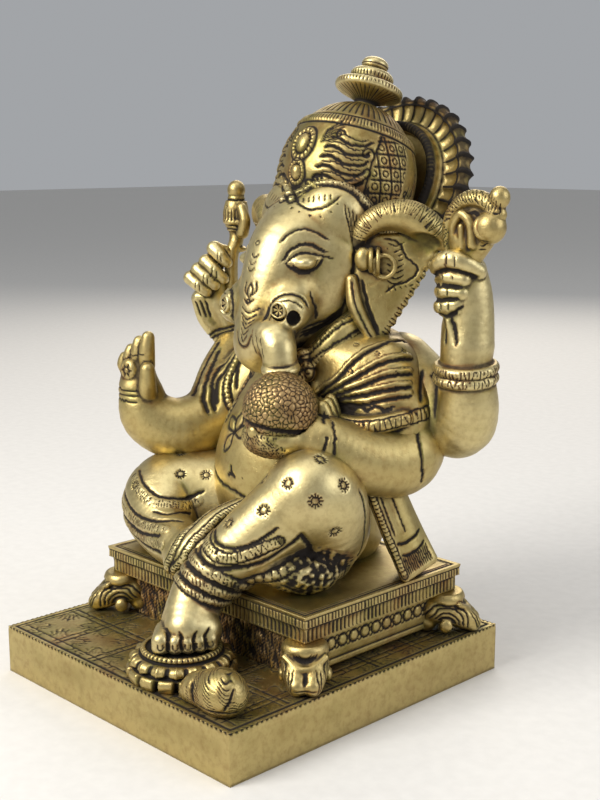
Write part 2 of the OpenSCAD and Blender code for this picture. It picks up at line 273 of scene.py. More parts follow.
def turned(profile, gap, centre, lean=0.0, turn=0.0):
    """A turned form: a profile of [radius, height] carried round an axis that leans back from
    upright. Its points keep their angle from the front towards the left, radius and height."""
    radius, height = spline(profile, gap).T
    columns = int(2 * math.pi * radius.max() / gap) // 2 * 2
    angle = 2 * math.pi * np.arange(columns) / columns
    x = radius[:, None] * np.sin(angle)
    y = -radius[:, None] * np.cos(angle)
    z = np.repeat(height[:, None], columns, 1)
    c, s = math.cos(lean), math.sin(lean)
    points = np.stack([x, y * c + z * s, z * c - y * s], 2).reshape(-1, 3)
    if turn:
        c, s = math.cos(turn), math.sin(turn)
        points = np.stack([points[:, 0] * c - points[:, 1] * s, points[:, 0] * s + points[:, 1] * c,
                           points[:, 2]], 1)
    piece = Piece(points + centre, grid_faces(len(radius), columns, close_columns=True)[:, ::-1])
    piece.angle = np.tile(angle, len(radius))
    piece.radius = np.repeat(radius, columns)
    piece.height = np.repeat(height, columns)
    ring = np.arange(columns)
    piece.lids = [ring[::-1], ring + (len(radius) - 1) * columns]
    return piece


# how far apart, in millimetres, a chased line's places are laid on the surface
CHASING_GAP = 1.2


class Piece:
    """A surface on its way to being a brass piece: its points, its quads, how far the chasing
    raises each point, and how much dark patina it holds."""

    def __init__(self, points, quads):
        self.points = np.array(points, float)
        self.quads = np.array(quads, np.int64)
        edges = np.vstack([self.quads[:, [k, (k + 1) % 4]] for k in range(4)])
        self.edges = edges[edges[:, 0] != edges[:, 1]]
        self.degree = np.maximum(np.bincount(self.edges.ravel(), minlength=len(self.points)), 1)
        self.relief = np.zeros(len(self.points))
        self.dark = np.zeros(len(self.points))
        self.lids = []
        self.work_out_normals()

    def spread(self, values):
        """The mean of each point's neighbours' values."""
        a, b = self.edges.T
        n = len(self.points)
        columns = [np.bincount(a, v[b], n) + np.bincount(b, v[a], n) for v in values.reshape(n, -1).T]
        return (np.stack(columns, 1) / self.degree[:, None]).reshape(values.shape)

    def smooth(self, times):
        """Moves each point half way to its neighbours' mean, a number of times."""
        for _ in range(times):
            self.points += 0.5 * (self.spread(self.points) - self.points)
        self.work_out_normals()
        return self

    def work_out_normals(self):
        """A point's normal is the sum of the cross products of its quads' diagonals."""
        q, p = self.quads, self.points
        n = np.cross(p[q[:, 2]] - p[q[:, 0]], p[q[:, 3]] - p[q[:, 1]])
        total = np.stack([sum(np.bincount(q[:, k], n[:, c], len(p)) for k in range(4))
                          for c in range(3)], 1)
        self.normals = total / np.maximum(np.linalg.norm(total, axis=1), 1e-9)[:, None]

    def apply_relief(self):
        """Lifts the surface by the relief so far, along its normals."""
        self.points += self.normals * self.relief[:, None]
        self.relief[:] = 0
        self.work_out_normals()
        return self

    def near(self, path, reach):
        """Points near a path that is first laid on the surface: their numbers, their distance
        from it, how far along it they are, and which side of it they lie on."""
        path = np.array(path, float)
        low, high = path.min(0) - reach - 8, path.max(0) + reach + 8
        box = np.flatnonzero(((self.points > low) & (self.points < high)).all(1))
        if not len(box):
            return box, np.zeros(0), np.zeros(0), np.zeros(0)
        points = self.points[box]
        laid = np.array([box[np.argmin(((points - p)**2).sum(1))] for p in path])
        out = self.normals[laid]
        path = self.points[laid]
        best = np.full(len(box), 1e9)
        along = np.zeros(len(box))
        side = np.zeros(len(box))
        gone = 0.0
        for a, b, n in zip(path, path[1:], out):
            d = b - a
            length = np.linalg.norm(d)
            if length < 1e-6:
                continue
            t = np.clip((points - a) @ d / length**2, 0, 1)
            off = points - a - t[:, None] * d
            square = (off**2).sum(1)
            closer = square < best
            best[closer] = square[closer]
            along[closer] = (gone + t * length)[closer]
            side[closer] = np.sign(off @ np.cross(n, d))[closer]
            gone += length
        keep = best < reach**2
        return box[keep], np.sqrt(best[keep]), along[keep], side[keep]

    def groove(self, path, width, depth, dark=1.0):
        """A chased line: a rounded cut along a smooth path on the surface, shallow at its ends."""
        path = spline(path, CHASING_GAP)
        at, off, along, _ = self.near(path, width * 1.6)
        shape = np.exp(-(off / width)**2 * 1.6)
        if len(at) and np.linalg.norm(path[0] - path[-1]) > 1:
            shape *= np.clip(np.minimum(along, along.max() - along) / 2.2 + 0.3, 0, 1)
        self.relief[at] -= depth * shape
        self.dark[at] = np.maximum(self.dark[at], dark * shape**0.7)
        return self

    def band(self, path, half, height=0.6, pitch=0, cut=0.25, beads=False, lines=True, slant=0.0):
        """A raised strip along a path, with hatching or beads across it and a cut at each edge."""
        at, off, along, side = self.near(spline(path, CHASING_GAP), half + 1.4)
        rise = np.clip((half + 0.3 - off) / 0.6, 0, 1)
        self.relief[at] += height * rise
        if pitch:
            phase = np.pi * (along + slant * off * side) / pitch
            if beads:
                bead = np.sqrt(np.clip(1 - (off / half)**2 - 0.9 * np.cos(phase)**2, 0, 1))
                self.relief[at] += cut * (bead - 0.5) * rise
                groove = np.clip(1 - bead * 1.6, 0, 1) * rise
            else:
                groove = np.clip(np.cos(phase)**2 * 3 - 2, 0, 1) * rise
                self.relief[at] -= cut * groove
            self.dark[at] = np.maximum(self.dark[at], 0.75 * groove)
        if lines:
            edge = np.exp(-((off - half - 0.35) / 0.5)**2)
            self.relief[at] -= 0.3 * edge
            self.dark[at] = np.maximum(self.dark[at], edge)
        return self

    def frame_at(self, point):
        """Flat drawing axes on the surface nearest a point: right, up, out and the origin."""
        near = np.argsort(((self.points - point)**2).sum(1))[:200]
        out = self.normals[near].sum(0)
        out /= np.linalg.norm(out)
        up = UP - out * (UP @ out)
        up /= np.linalg.norm(up)
        return np.cross(up, out), up, out, self.points[near[0]]

    def drawing(self, point, reach):
        """The points within reach of a flat drawing on the surface: their numbers and their
        places to the right of and above its middle."""
        deep = 8.0
        right, up, out, origin = self.frame_at(np.array(point, float))
        p = self.points - origin
        x, y, w = p @ right, p @ up, p @ out
        at = np.flatnonzero((x * x + y * y < reach**2) & (abs(w) < deep) & (self.normals @ out > 0.15))
        return at, x[at], y[at]

    def draw(self, point, strokes, width, depth, size=1.0, dark=1.0):
        """Chases flat strokes, each a short list of [right, up] places, on to the surface."""
        strokes = [spline(np.array(s, float) * size, 0.8) for s in strokes]
        reach = max(np.linalg.norm(s, axis=1).max() for s in strokes) + width * 2
        at, x, y = self.drawing(point, reach)
        best = np.full(len(at), 1e9)
        for s in strokes:
            for a, b in zip(s, s[1:]):
                d = b - a
                t = np.clip(((x - a[0]) * d[0] + (y - a[1]) * d[1]) / max(d @ d, 1e-9), 0, 1)
                best = np.minimum(best, (x - a[0] - t * d[0])**2 + (y - a[1] - t * d[1])**2)
        off = np.sqrt(best)
        self.relief[at] -= depth * np.exp(-(off / width)**2 * 1.6)
        self.dark[at] = np.maximum(self.dark[at], dark * np.exp(-(off / width)**2 * 1.1))
        return self

    def stamp(self, point, radius, rays, depth):
        """A punched flower: a ring of short petals, its depth a cosine of the angle."""
        at, x, y = self.drawing(point, radius * 1.5)
        r, angle = np.hypot(x, y), np.arctan2(y, x)
        edge = radius * (0.8 + 0.2 * np.cos(rays * angle))
        hit = np.clip((edge - r) / 0.5, 0, 1) * (0.35 + 0.65 * np.clip((r - 0.3 * radius) / 0.5, 0, 1))
        self.relief[at] -= depth * hit
        self.dark[at] = np.maximum(self.dark[at], 0.8 * hit * (0.6 + 0.4 * np.cos(rays * angle)))
        return self

    def cavity(self):
        """How hollow the surface is: how far each point lies below its smoothed neighbours, at
        three sizes of neighbourhood, as nought on a bump and one in a deep crease."""
        blurred = self.points.copy()
        hollow = np.zeros(len(self.points))
        done = 0
        for times, scale in ((3, 0.07), (14, 0.22), (60, 0.8)):
            for _ in range(times - done):
                blurred = self.spread(blurred)
            done = times
            lift = ((blurred - self.points) * self.normals).sum(1)
            hollow = np.maximum(hollow, np.clip(lift / scale, 0, 1))
            self.raised = np.clip(-lift / scale, 0, 1)
        return hollow


# ---------------------------------------------------------------- brass finishes
def linear(colour):
    """An sRGB hex colour as linear RGBA."""
    parts = [int(colour[i:i + 2], 16) / 255 for i in (1, 3, 5)]
    return [c / 12.92 if c <= 0.04045 else ((c + 0.055) / 1.055)**2.4 for c in parts] + [1.0]


def add(tree, kind, settings=None, **links):
    """Adds a node; settings are its properties or input values, links its inputs' sources."""
    node = tree.nodes.new(kind)
    for key, value in (settings or {}).items():
        if isinstance(key, str) and hasattr(node, key):
            setattr(node, key, value)
        else:
            node.inputs[key].default_value = value
    for key, source in links.items():
        name = int(key[2:]) if key.startswith("in") and key[2:].isdigit() else key.replace("_", " ")
        tree.links.new(node.inputs[name], source)
    return node


def ramp(tree, source, stops):
    """A colour ramp with stops of place to hex colour or grey level."""
    node = add(tree, "ShaderNodeValToRGB", Fac=source)
    marks = node.color_ramp.elements
    while len(marks) < len(stops):
        marks.new(0.5)
    for mark, (place, colour) in zip(marks, sorted(stops.items())):
        mark.position = place
        mark.color = linear(colour) if isinstance(colour, str) else (colour, colour, colour, 1)
    return node.outputs["Color"]


def per_metre(size_mm):
    """Noise scale for features of a real size, on Object coordinates in metres."""
    return 1 / (size_mm * MM)


def cast_brass(name, bright, body, deep, roughness, stain, pits):
    """Cast brass, chased, darkened in its cuts, darkened with painted shade where parts crowd together, and
    rubbed bright on its high places.

    bright, body and deep are the colours of a rubbed edge, the plain metal and the patina;
    roughness is that of the bare metal, stain how brown its mottling is, and pits how deep its
    casting pits look."""
    material = bpy.data.materials.new(name)
    material.use_nodes = True
    tree = material.node_tree
    shader = tree.nodes["Principled BSDF"]
    place = add(tree, "ShaderNodeTexCoord").outputs["Object"]
    # the patina attribute carries the patina and also the painted shade between crowded parts
    patina_and_painted_shade = add(tree, "ShaderNodeAttribute", {"attribute_name": "patina_and_painted_shade"}).outputs["Fac"]
    worn = add(tree, "ShaderNodeAttribute", {"attribute_name": "worn"}).outputs["Fac"]

    # uneven lacquer and handling: soft clouds about a finger wide, and finer mottling
    clouds = add(tree, "ShaderNodeTexNoise", {"Scale": per_metre(22), "Detail": 4.0}, Vector=place)
    mottle = add(tree, "ShaderNodeTexNoise", {"Scale": per_metre(3.0), "Detail": 5.0,
                                              "Roughness": 0.65}, Vector=place)
    # hand-brushed lines, a fifth of a millimetre wide and some ten times as long
    turned = add(tree, "ShaderNodeMapping", {"Rotation": (0.5, 0.35, 0.7), "Scale": (1, 9, 1.4)},
                 Vector=place)
    brushed = add(tree, "ShaderNodeTexNoise", {"Scale": per_metre(2.2), "Detail": 3.0},
                  Vector=turned.outputs["Vector"])
    # casting pits of about half a millimetre, some one and a half apart
    pores = add(tree, "ShaderNodeTexVoronoi", {"Scale": per_metre(1.6)}, Vector=place)

    tone = ramp(tree, clouds.outputs["Fac"], {0.32: body, 0.68: bright})
    lit = add(tree, "ShaderNodeMix", {"data_type": "RGBA", 7: linear(bright)}, in6=tone, in0=worn)
    warm = add(tree, "ShaderNodeMath", {"operation": "MULTIPLY", 1: stain},
               in0=ramp(tree, mottle.outputs["Fac"], {0.45: 0.0, 0.75: 1.0}))
    stained = add(tree, "ShaderNodeMix", {"data_type": "RGBA", 7: linear("#7A5A2C")},
                  in6=lit.outputs[2], in0=warm.outputs[0])
    # green bloom where damp sat, and rusty brown near the crevices, both in loose patches
    damp = add(tree, "ShaderNodeTexNoise", {"Scale": per_metre(15), "Detail": 3.0}, Vector=place)
    creep = ramp(tree, patina_and_painted_shade, {0.02: 0.1, 0.35: 1.0})
    for colour, low, high in (("#6E7034", 0.5, 0.62), ("#7A4A26", 0.46, 0.34)):
        patch = add(tree, "ShaderNodeMapRange", {1: low, 2: high, 4: 0.65}, in0=damp.outputs["Fac"])
        spread = add(tree, "ShaderNodeMath", {"operation": "MULTIPLY"}, in0=patch.outputs[0], in1=creep)
        stained = add(tree, "ShaderNodeMix", {"data_type": "RGBA", 7: linear(colour)},
                      in0=spread.outputs[0], in6=stained.outputs[2])
    # the patina, with the painted shade between crowded parts, creeps out of the cuts unevenly
    ragged = add(tree, "ShaderNodeMath", {"operation": "MULTIPLY_ADD", 1: 0.45, 2: -0.22},
                 in0=mottle.outputs["Fac"])
    amount = add(tree, "ShaderNodeMath", {"operation": "ADD", "use_clamp": True},
                 in0=patina_and_painted_shade, in1=ragged.outputs[0])
    cover = ramp(tree, amount.outputs[0], {0.16: 0.0, 0.85: 1.0})
    layer = ramp(tree, amount.outputs[0], {0.2: "#6E5426", 0.5: "#43301A", 0.85: deep})
    coloured = add(tree, "ShaderNodeMix", {"data_type": "RGBA"}, in0=cover, in6=stained.outputs[2],
                   in7=layer)
    tree.links.new(shader.inputs["Base Color"], coloured.outputs[2])
    tree.links.new(shader.inputs["Metallic"],
                   ramp(tree, amount.outputs[0], {0.2: 1.0, 0.95: 0.25}))
    rough = add(tree, "ShaderNodeMath", {"operation": "MULTIPLY_ADD", 1: 0.42, 2: roughness},
                in0=cover)
    uneven = add(tree, "ShaderNodeMath", {"operation": "MULTIPLY_ADD", 1: 0.16},
                 in0=brushed.outputs["Fac"], in2=rough.outputs[0])
    tree.links.new(shader.inputs["Roughness"], uneven.outputs[0])

    grain = add(tree, "ShaderNodeBump", {"Strength": 0.2, "Distance": 0.15 * MM},
                Height=brushed.outputs["Fac"])
    hammered = add(tree, "ShaderNodeBump", {"Strength": 0.35, "Distance": 0.25 * MM},
                   Height=mottle.outputs["Fac"], Normal=grain.outputs["Normal"])
    holes = ramp(tree, pores.outputs["Distance"], {0.05: 0.0, 0.28: 1.0})
    pitted = add(tree, "ShaderNodeBump", {"Strength": pits, "Distance": 0.2 * MM}, Height=holes,
                 Normal=hammered.outputs["Normal"])
    tree.links.new(shader.inputs["Normal"], pitted.outputs["Normal"])
    return material


def zinc_steel():
    """Zinc-plated steel: a dull grey metal with a faint spangle about a millimetre wide."""
    material = bpy.data.materials.new("zinc_plated_steel")
    material.use_nodes = True
    tree = material.node_tree
    shader = tree.nodes["Principled BSDF"]
    shader.inputs["Metallic"].default_value = 1.0
    place = add(tree, "ShaderNodeTexCoord").outputs["Object"]
    spangle = add(tree, "ShaderNodeTexNoise", {"Scale": per_metre(1.0)}, Vector=place)
    tree.links.new(shader.inputs["Base Color"],
                   ramp(tree, spangle.outputs["Fac"], {0.3: "#8E8F8C", 0.7: "#B4B5B0"}))
    tree.links.new(shader.inputs["Roughness"],
                   ramp(tree, spangle.outputs["Fac"], {0.3: 0.35, 0.7: 0.5}))
    return material


FINISH = {
    # the limbs and the face are rubbed bright: pale gold, little patina outside the cuts
    "polished_brass": cast_brass("rubbed_bright_brass", "#D2C28E", "#A58F55", "#1C140C", 0.32, 0.35, 0.2),
    # the flat work is satin, brushed by hand and lacquered
    "satin_brass": cast_brass("satin_brushed_brass", "#BFAC74", "#917F49", "#1E160D", 0.36, 0.4, 0.25),
    # the chased work keeps more of its brown
    "antique_brass": cast_brass("antique_chased_brass", "#BCA870", "#85713F", "#1A120A", 0.33, 0.5, 0.3),
    # rough as cast, brown nearly all over
    "dark_brass": cast_brass("rough_brown_brass", "#B09468", "#745A36", "#1C110A", 0.36, 0.6, 0.5),
}
STEEL = zinc_steel()


# ---------------------------------------------------------------- from a surface to a piece
WORKS = []


def cast(piece, name, finish, *nodes, origin=FIGURE):
    """Keeps a finished surface, to be poured once all of them are there."""
    piece.apply_relief()
    piece.points = piece.points + origin
    WORKS.append((piece, name, finish, nodes))


# the crowding below is used to paint shade into the gaps between parts
def crowding():
    """How much surface lies round each place: the area in each small cube, blurred. Returns a
    function from points to their crowding, which is about one on a flat face."""
    cell, passes, margin = 1.5, 3, 12
    low = np.array(CAD_LOW) / MM - margin
    size = ((np.array(CAD_HIGH) / MM + margin - low) / cell).astype(int) + 2
    total = np.zeros(size.prod())
    for piece, *_ in WORKS:
        q, p = piece.quads, piece.points
        area = np.linalg.norm(np.cross(p[q[:, 2]] - p[q[:, 0]], p[q[:, 3]] - p[q[:, 1]]), axis=1) / 2
        at = ((p[q].mean(1) - low) / cell).astype(int).clip(0, size - 1)
        total += np.bincount(np.ravel_multi_index(at.T, size), area, len(total))
    total = total.reshape(size)
    for _ in range(passes):
        for axis in range(3):
            total = (np.roll(total, 1, axis) + total + np.roll(total, -1, axis)) / 3
    flat = cell * cell / 3.2

    def at(points):
        near = ((points - low) / cell - 0.5).astype(int).clip(0, size - 1)
        return total[tuple(near.T)] / flat
    return at


def pour(crowd, piece, name, finish, nodes):
    """Makes the Blender piece, with its patina, the painted shade where parts crowd together, and its wear
    as attributes.
    """
    hollow = piece.cavity()
    # painted shade: darker where much surface crowds round a point, in the gaps between parts where shade
    # falls
    painted_crowd_shade = np.clip((crowd(piece.points + piece.normals * 2.0) - 1.1) / 1.4, 0, 1)
    for _ in range(4):
        painted_crowd_shade = piece.spread(painted_crowd_shade)
    # the patina attribute holds the patina of the cuts and hollows together with this painted shade
    patina_and_painted_shade = np.clip(piece.dark * 0.95 + hollow * 0.75 + painted_crowd_shade * 0.8, 0, 1)
    worn = np.clip(piece.raised * 1.5 - patina_and_painted_shade, 0, 1)
    mesh = bpy.data.meshes.new(name)
    mesh.vertices.add(len(piece.points))
    mesh.vertices.foreach_set("co", (piece.points * MM).astype(np.float32).ravel())
    loops = np.concatenate([piece.quads.ravel(), *piece.lids]).astype(np.int32)
    sizes = np.array([4] * len(piece.quads) + [len(lid) for lid in piece.lids])
    mesh.loops.add(len(loops))
    mesh.loops.foreach_set("vertex_index", loops)
    mesh.polygons.add(len(sizes))
    mesh.polygons.foreach_set("loop_start", np.concatenate([[0], np.cumsum(sizes)[:-1]]).astype(np.int32))
    mesh.polygons.foreach_set("use_smooth", np.ones(len(sizes), bool))
    mesh.update(calc_edges=True)
    for label, values in (("patina_and_painted_shade", patina_and_painted_shade), ("worn", worn)):
        mesh.attributes.new(label, "FLOAT", "POINT").data.foreach_set("value", values.astype(np.float32))
    mesh.materials.append(FINISH[finish])
    thing = bpy.data.objects.new(name, mesh)
    bpy.context.scene.collection.objects.link(thing)
    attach(thing, "root")
    if nodes:
        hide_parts(*nodes)
    return thing


# ---------------------------------------------------------------- chasing patterns
def wave(place, pitch, sharp=3.0):
    """Nought between cuts and one in them: cuts spaced by pitch, narrower as sharp grows."""
    return np.clip(np.cos(np.pi * place / pitch)**2 * sharp - (sharp - 1), 0, 1)


def line_at(distance, width):
    """A soft line: one at distance nought, fading out within about width."""
    return np.exp(-(distance / width)**2)


def engrave(piece, cut, depth, dark=1.0):
    """Lowers the surface where cut is one, and fills it with patina."""
    piece.relief -= depth * cut
    piece.dark = np.maximum(piece.dark, dark * cut)


# ---------------------------------------------------------------- the figure's forms
SKULL = [[0, 36, 106, 20], [0, 37, 121, 26], [0, 44, 135, 29]]
CHEEKS = [[0, 41, 134, 28.5], [0, 29, 121, 23.5], [0, 22, 110, 18]]
TRUNK = [[0, 32, 142, 17], [0, 21, 136, 16.5], [0, 15, 127, 15.2], [0, 10.5, 114, 14.2],
         [0, 7, 105, 13], [1, 5, 97, 12]]
TRUNK_TIP = [[1, 5, 97, 12], [7, 1, 98.5, 10.5], [14, -2, 101, 8.8], [19.5, -4, 98, 7.6],
             [21.5, -4.5, 89, 6.8]]
TORSO = [[0, 34, 17, 35], [0, 27, 38, 38], [0, 36, 68, 31], [0, 41, 86, 25], [0, 40, 100, 21]]
SHOULDERS = [[-34, 45, 82, 17.5], [0, 42, 86, 20], [34, 45, 82, 17.5]]
LEFT_FRONT = [[34, 44, 81, 18.5], [52, 38, 54, 17.5], [50, 18, 52, 14.5], [42, 2, 60, 11.5],
              [34, -7, 63, 9.5]]
LEFT_REAR = [[38, 50, 84, 17], [64, 54, 66, 16], [74, 52, 72, 13.5], [75, 50, 90, 11],
             [73, 50, 106, 9]]
RIGHT_FRONT = [[-34, 44, 80, 18.5], [-46, 24, 58, 16], [-54, 4, 51, 14.5], [-63, -8, 57, 12.8],
               [-66, -11, 70, 9.8]]
RIGHT_REAR = [[-38, 50, 82, 17], [-56, 52, 74, 14], [-64, 48, 84, 10.5], [-68, 46, 93, 7.5],
              [-73, 43, 104, 8.5]]
LEFT_THIGH = [[16, 24, 18, 21], [26, 14, 20, 21.5], [36, 5, 25, 20.5], [44, -3, 38, 18.5],
              [44, -9, 42, 17.5]]
LEFT_SHIN = [[44, -9, 42, 17.5], [33, -22, 28, 15.3], [21, -36, 12, 12.8], [15, -44, 1, 11.3]]
RIGHT_LEG = [[-14, 32, 18, 25], [-40, 10, 19, 23.5], [-51, -6, 19, 22], [-34, -22, 12, 13],
             [-12, -28, 9, 10.5], [4, -27, 8, 8.5]]
# the ball of sweets, and the slightly smaller hollow that the castings round it leave for it
BOWL = np.array([28.0, -11, 74])
BALL_RADIUS, HOLLOW_RADIUS = 15.4, 15.3
# level directions: towards the front left corner, across that, and upright
TOWARDS = np.array([0.717, -0.697, 0])
ASIDE = np.array([0.697, 0.717, 0])
UP = np.array([0, 0, 1.0])


def mirrored(path, side):
    """The same path on the figure's left (1) or right (-1)."""
    return [[side * p[0], *p[1:]] for p in path]


def loop(centre, way, radius):
    """Points round a circle about a leaning axis."""
    way = np.array(way, float) / np.linalg.norm(way)
    one = np.cross(way, [0.31, 0.2, 0.93])
    one /= np.linalg.norm(one)
    two = np.cross(way, one)
    a = np.linspace(0, 2 * np.pi, 24)[:, None]
    return np.array(centre) + radius * (np.cos(a) * one + np.sin(a) * two)


def grains(piece, centre, size, depth, below=99.0):
    """Small grains crowded over a ball: each is a cell about its own seed, and the seeds, which
    wind round the ball at even steps, are each moved a little at random."""
    off = piece.points - centre
    unit = off / np.linalg.norm(off, axis=1)[:, None]
    radius = np.linalg.norm(off, axis=1).mean()
    count = int(4 * np.pi * radius**2 / size**2 * 1.1)
    k = np.arange(count) + 0.5
    rise = 1 - 2 * k / count
    turn = np.pi * (1 + 5**0.5) * k
    flat = np.sqrt(1 - rise**2)
    seeds = np.stack([flat * np.cos(turn), flat * np.sin(turn), rise], 1)
    seeds += np.random.default_rng(7).normal(0, 0.3 * size / radius, seeds.shape)
    seeds /= np.linalg.norm(seeds, axis=1)[:, None]
    here = np.nonzero(off[:, 2] < below)[0]
    gaps = np.sqrt(np.clip(2 - 2 * unit[here] @ seeds.T, 0, None)) * radius
    two = np.partition(gaps, 1, axis=1)[:, :2]
    ridge = np.clip((two[:, 1] - two[:, 0]) / size * 2.2, 0, 1)
    piece.relief[here] += depth * (np.sqrt(ridge) - 0.6)
    piece.dark[here] = np.maximum(piece.dark[here], 0.5 * np.clip(1 - ridge * 2.6, 0, 1))


def torso():
    """Belly, chest and shoulders: one round bar up the middle and one across the shoulders, with
    a collar of necklaces whose two flower pendants hang on the left of the chest."""
    clay = Clay((-54, -15, -1.2), (54, 78, 123), 0.8)
    clay.limb(TORSO, 4).limb(SHOULDERS, 8)
    for side in (1, -1):
        clay.limb([[side * 10, 16, 82, 5], [side * 19, 19, 91, 6], [side * 26, 27, 101, 6.5],
                   [side * 25, 44, 108, 6]], 3)
    for x, y, z in ((16, 12.6, 91.5), (19.5, 12.4, 85.5)):
        clay.ball((x, y, z), (4.3, 3.6, 4.3), 0.6)
    clay.half((0, 0, -0.2), (0, 0, -1))
    piece = clay.skin().smooth(2)
    for side in (1, -1):
        piece.band(mirrored([[12, 11, 87], [19, 14, 95], [26, 22, 103], [29, 36, 109]], side), 1.4, 0.5,
                   1.5, 0.35)
        piece.band(mirrored([[13, 10, 82], [23, 14, 90], [30, 23, 98], [33, 38, 105]], side), 1.6, 0.5, 1.9,
                   0.35)
        piece.groove(mirrored([[14, 9, 78], [27, 15, 87], [34, 26, 95], [36, 38, 101]], side), 0.7, 0.5)
    for x, y, z in ((16.6, 9, 91.5), (20.4, 9, 85.5)):
        piece.stamp((x, y, z), 3.2, 7, 0.6)
    sprig = [[[-0.8, 2.8], [0, 0.6], [2.2, -1.2]], [[0, 0.6], [-1.8, -1]], [[-1.2, -0.4], [1, -0.8]]]
    piece.draw((-3, -11, 42), sprig, width=0.9, depth=0.8)
    piece.stamp((4, -11, 41), 0.8, 5, 0.4)
    leaf = [[0, 0], [1.8, 2.4], [0.9, 5.2], [-0.9, 3.2], [0, 0]]
    for turn in (0, 1.1, -1.2, 2.9):
        c, s = math.cos(turn), math.sin(turn)
        turned_leaf = [[c * a - s * b, s * a + c * b] for a, b in leaf]
        piece.draw((-7, -5, 58), [turned_leaf], width=0.85, depth=0.6, size=1.9)
    piece.groove([[-30, -4, 42], [-22, -6, 39], [-12, -9, 36], [0, -11, 34], [10, -10, 31], [20, -6, 30]],
                 0.9, 0.6)
    for k, height in enumerate((62, 74, 86)):
        piece.band([[-18 + k, 3 + 4 * k, height + 8], [-20 + k, 1 + 4 * k, height]], 1.3, 0.5, 2.2, 0.4,
                   beads=True)
    # the waist cloth's knot and folds at the back
    for k in range(5):
        piece.groove([[-26 + 3 * k, 66, 6], [-12 + 3 * k, 70 + k * 0.5, 24], [6 + 4 * k, 70, 34]], 0.8, 0.6)
    piece.band([[-34, 42, 30], [-22, 62, 33], [0, 72, 34], [22, 62, 33], [34, 42, 30]], 2.2, 0.7, 2.4, 0.4)
    cast(piece, "torso_body", "satin_brass", "torso")


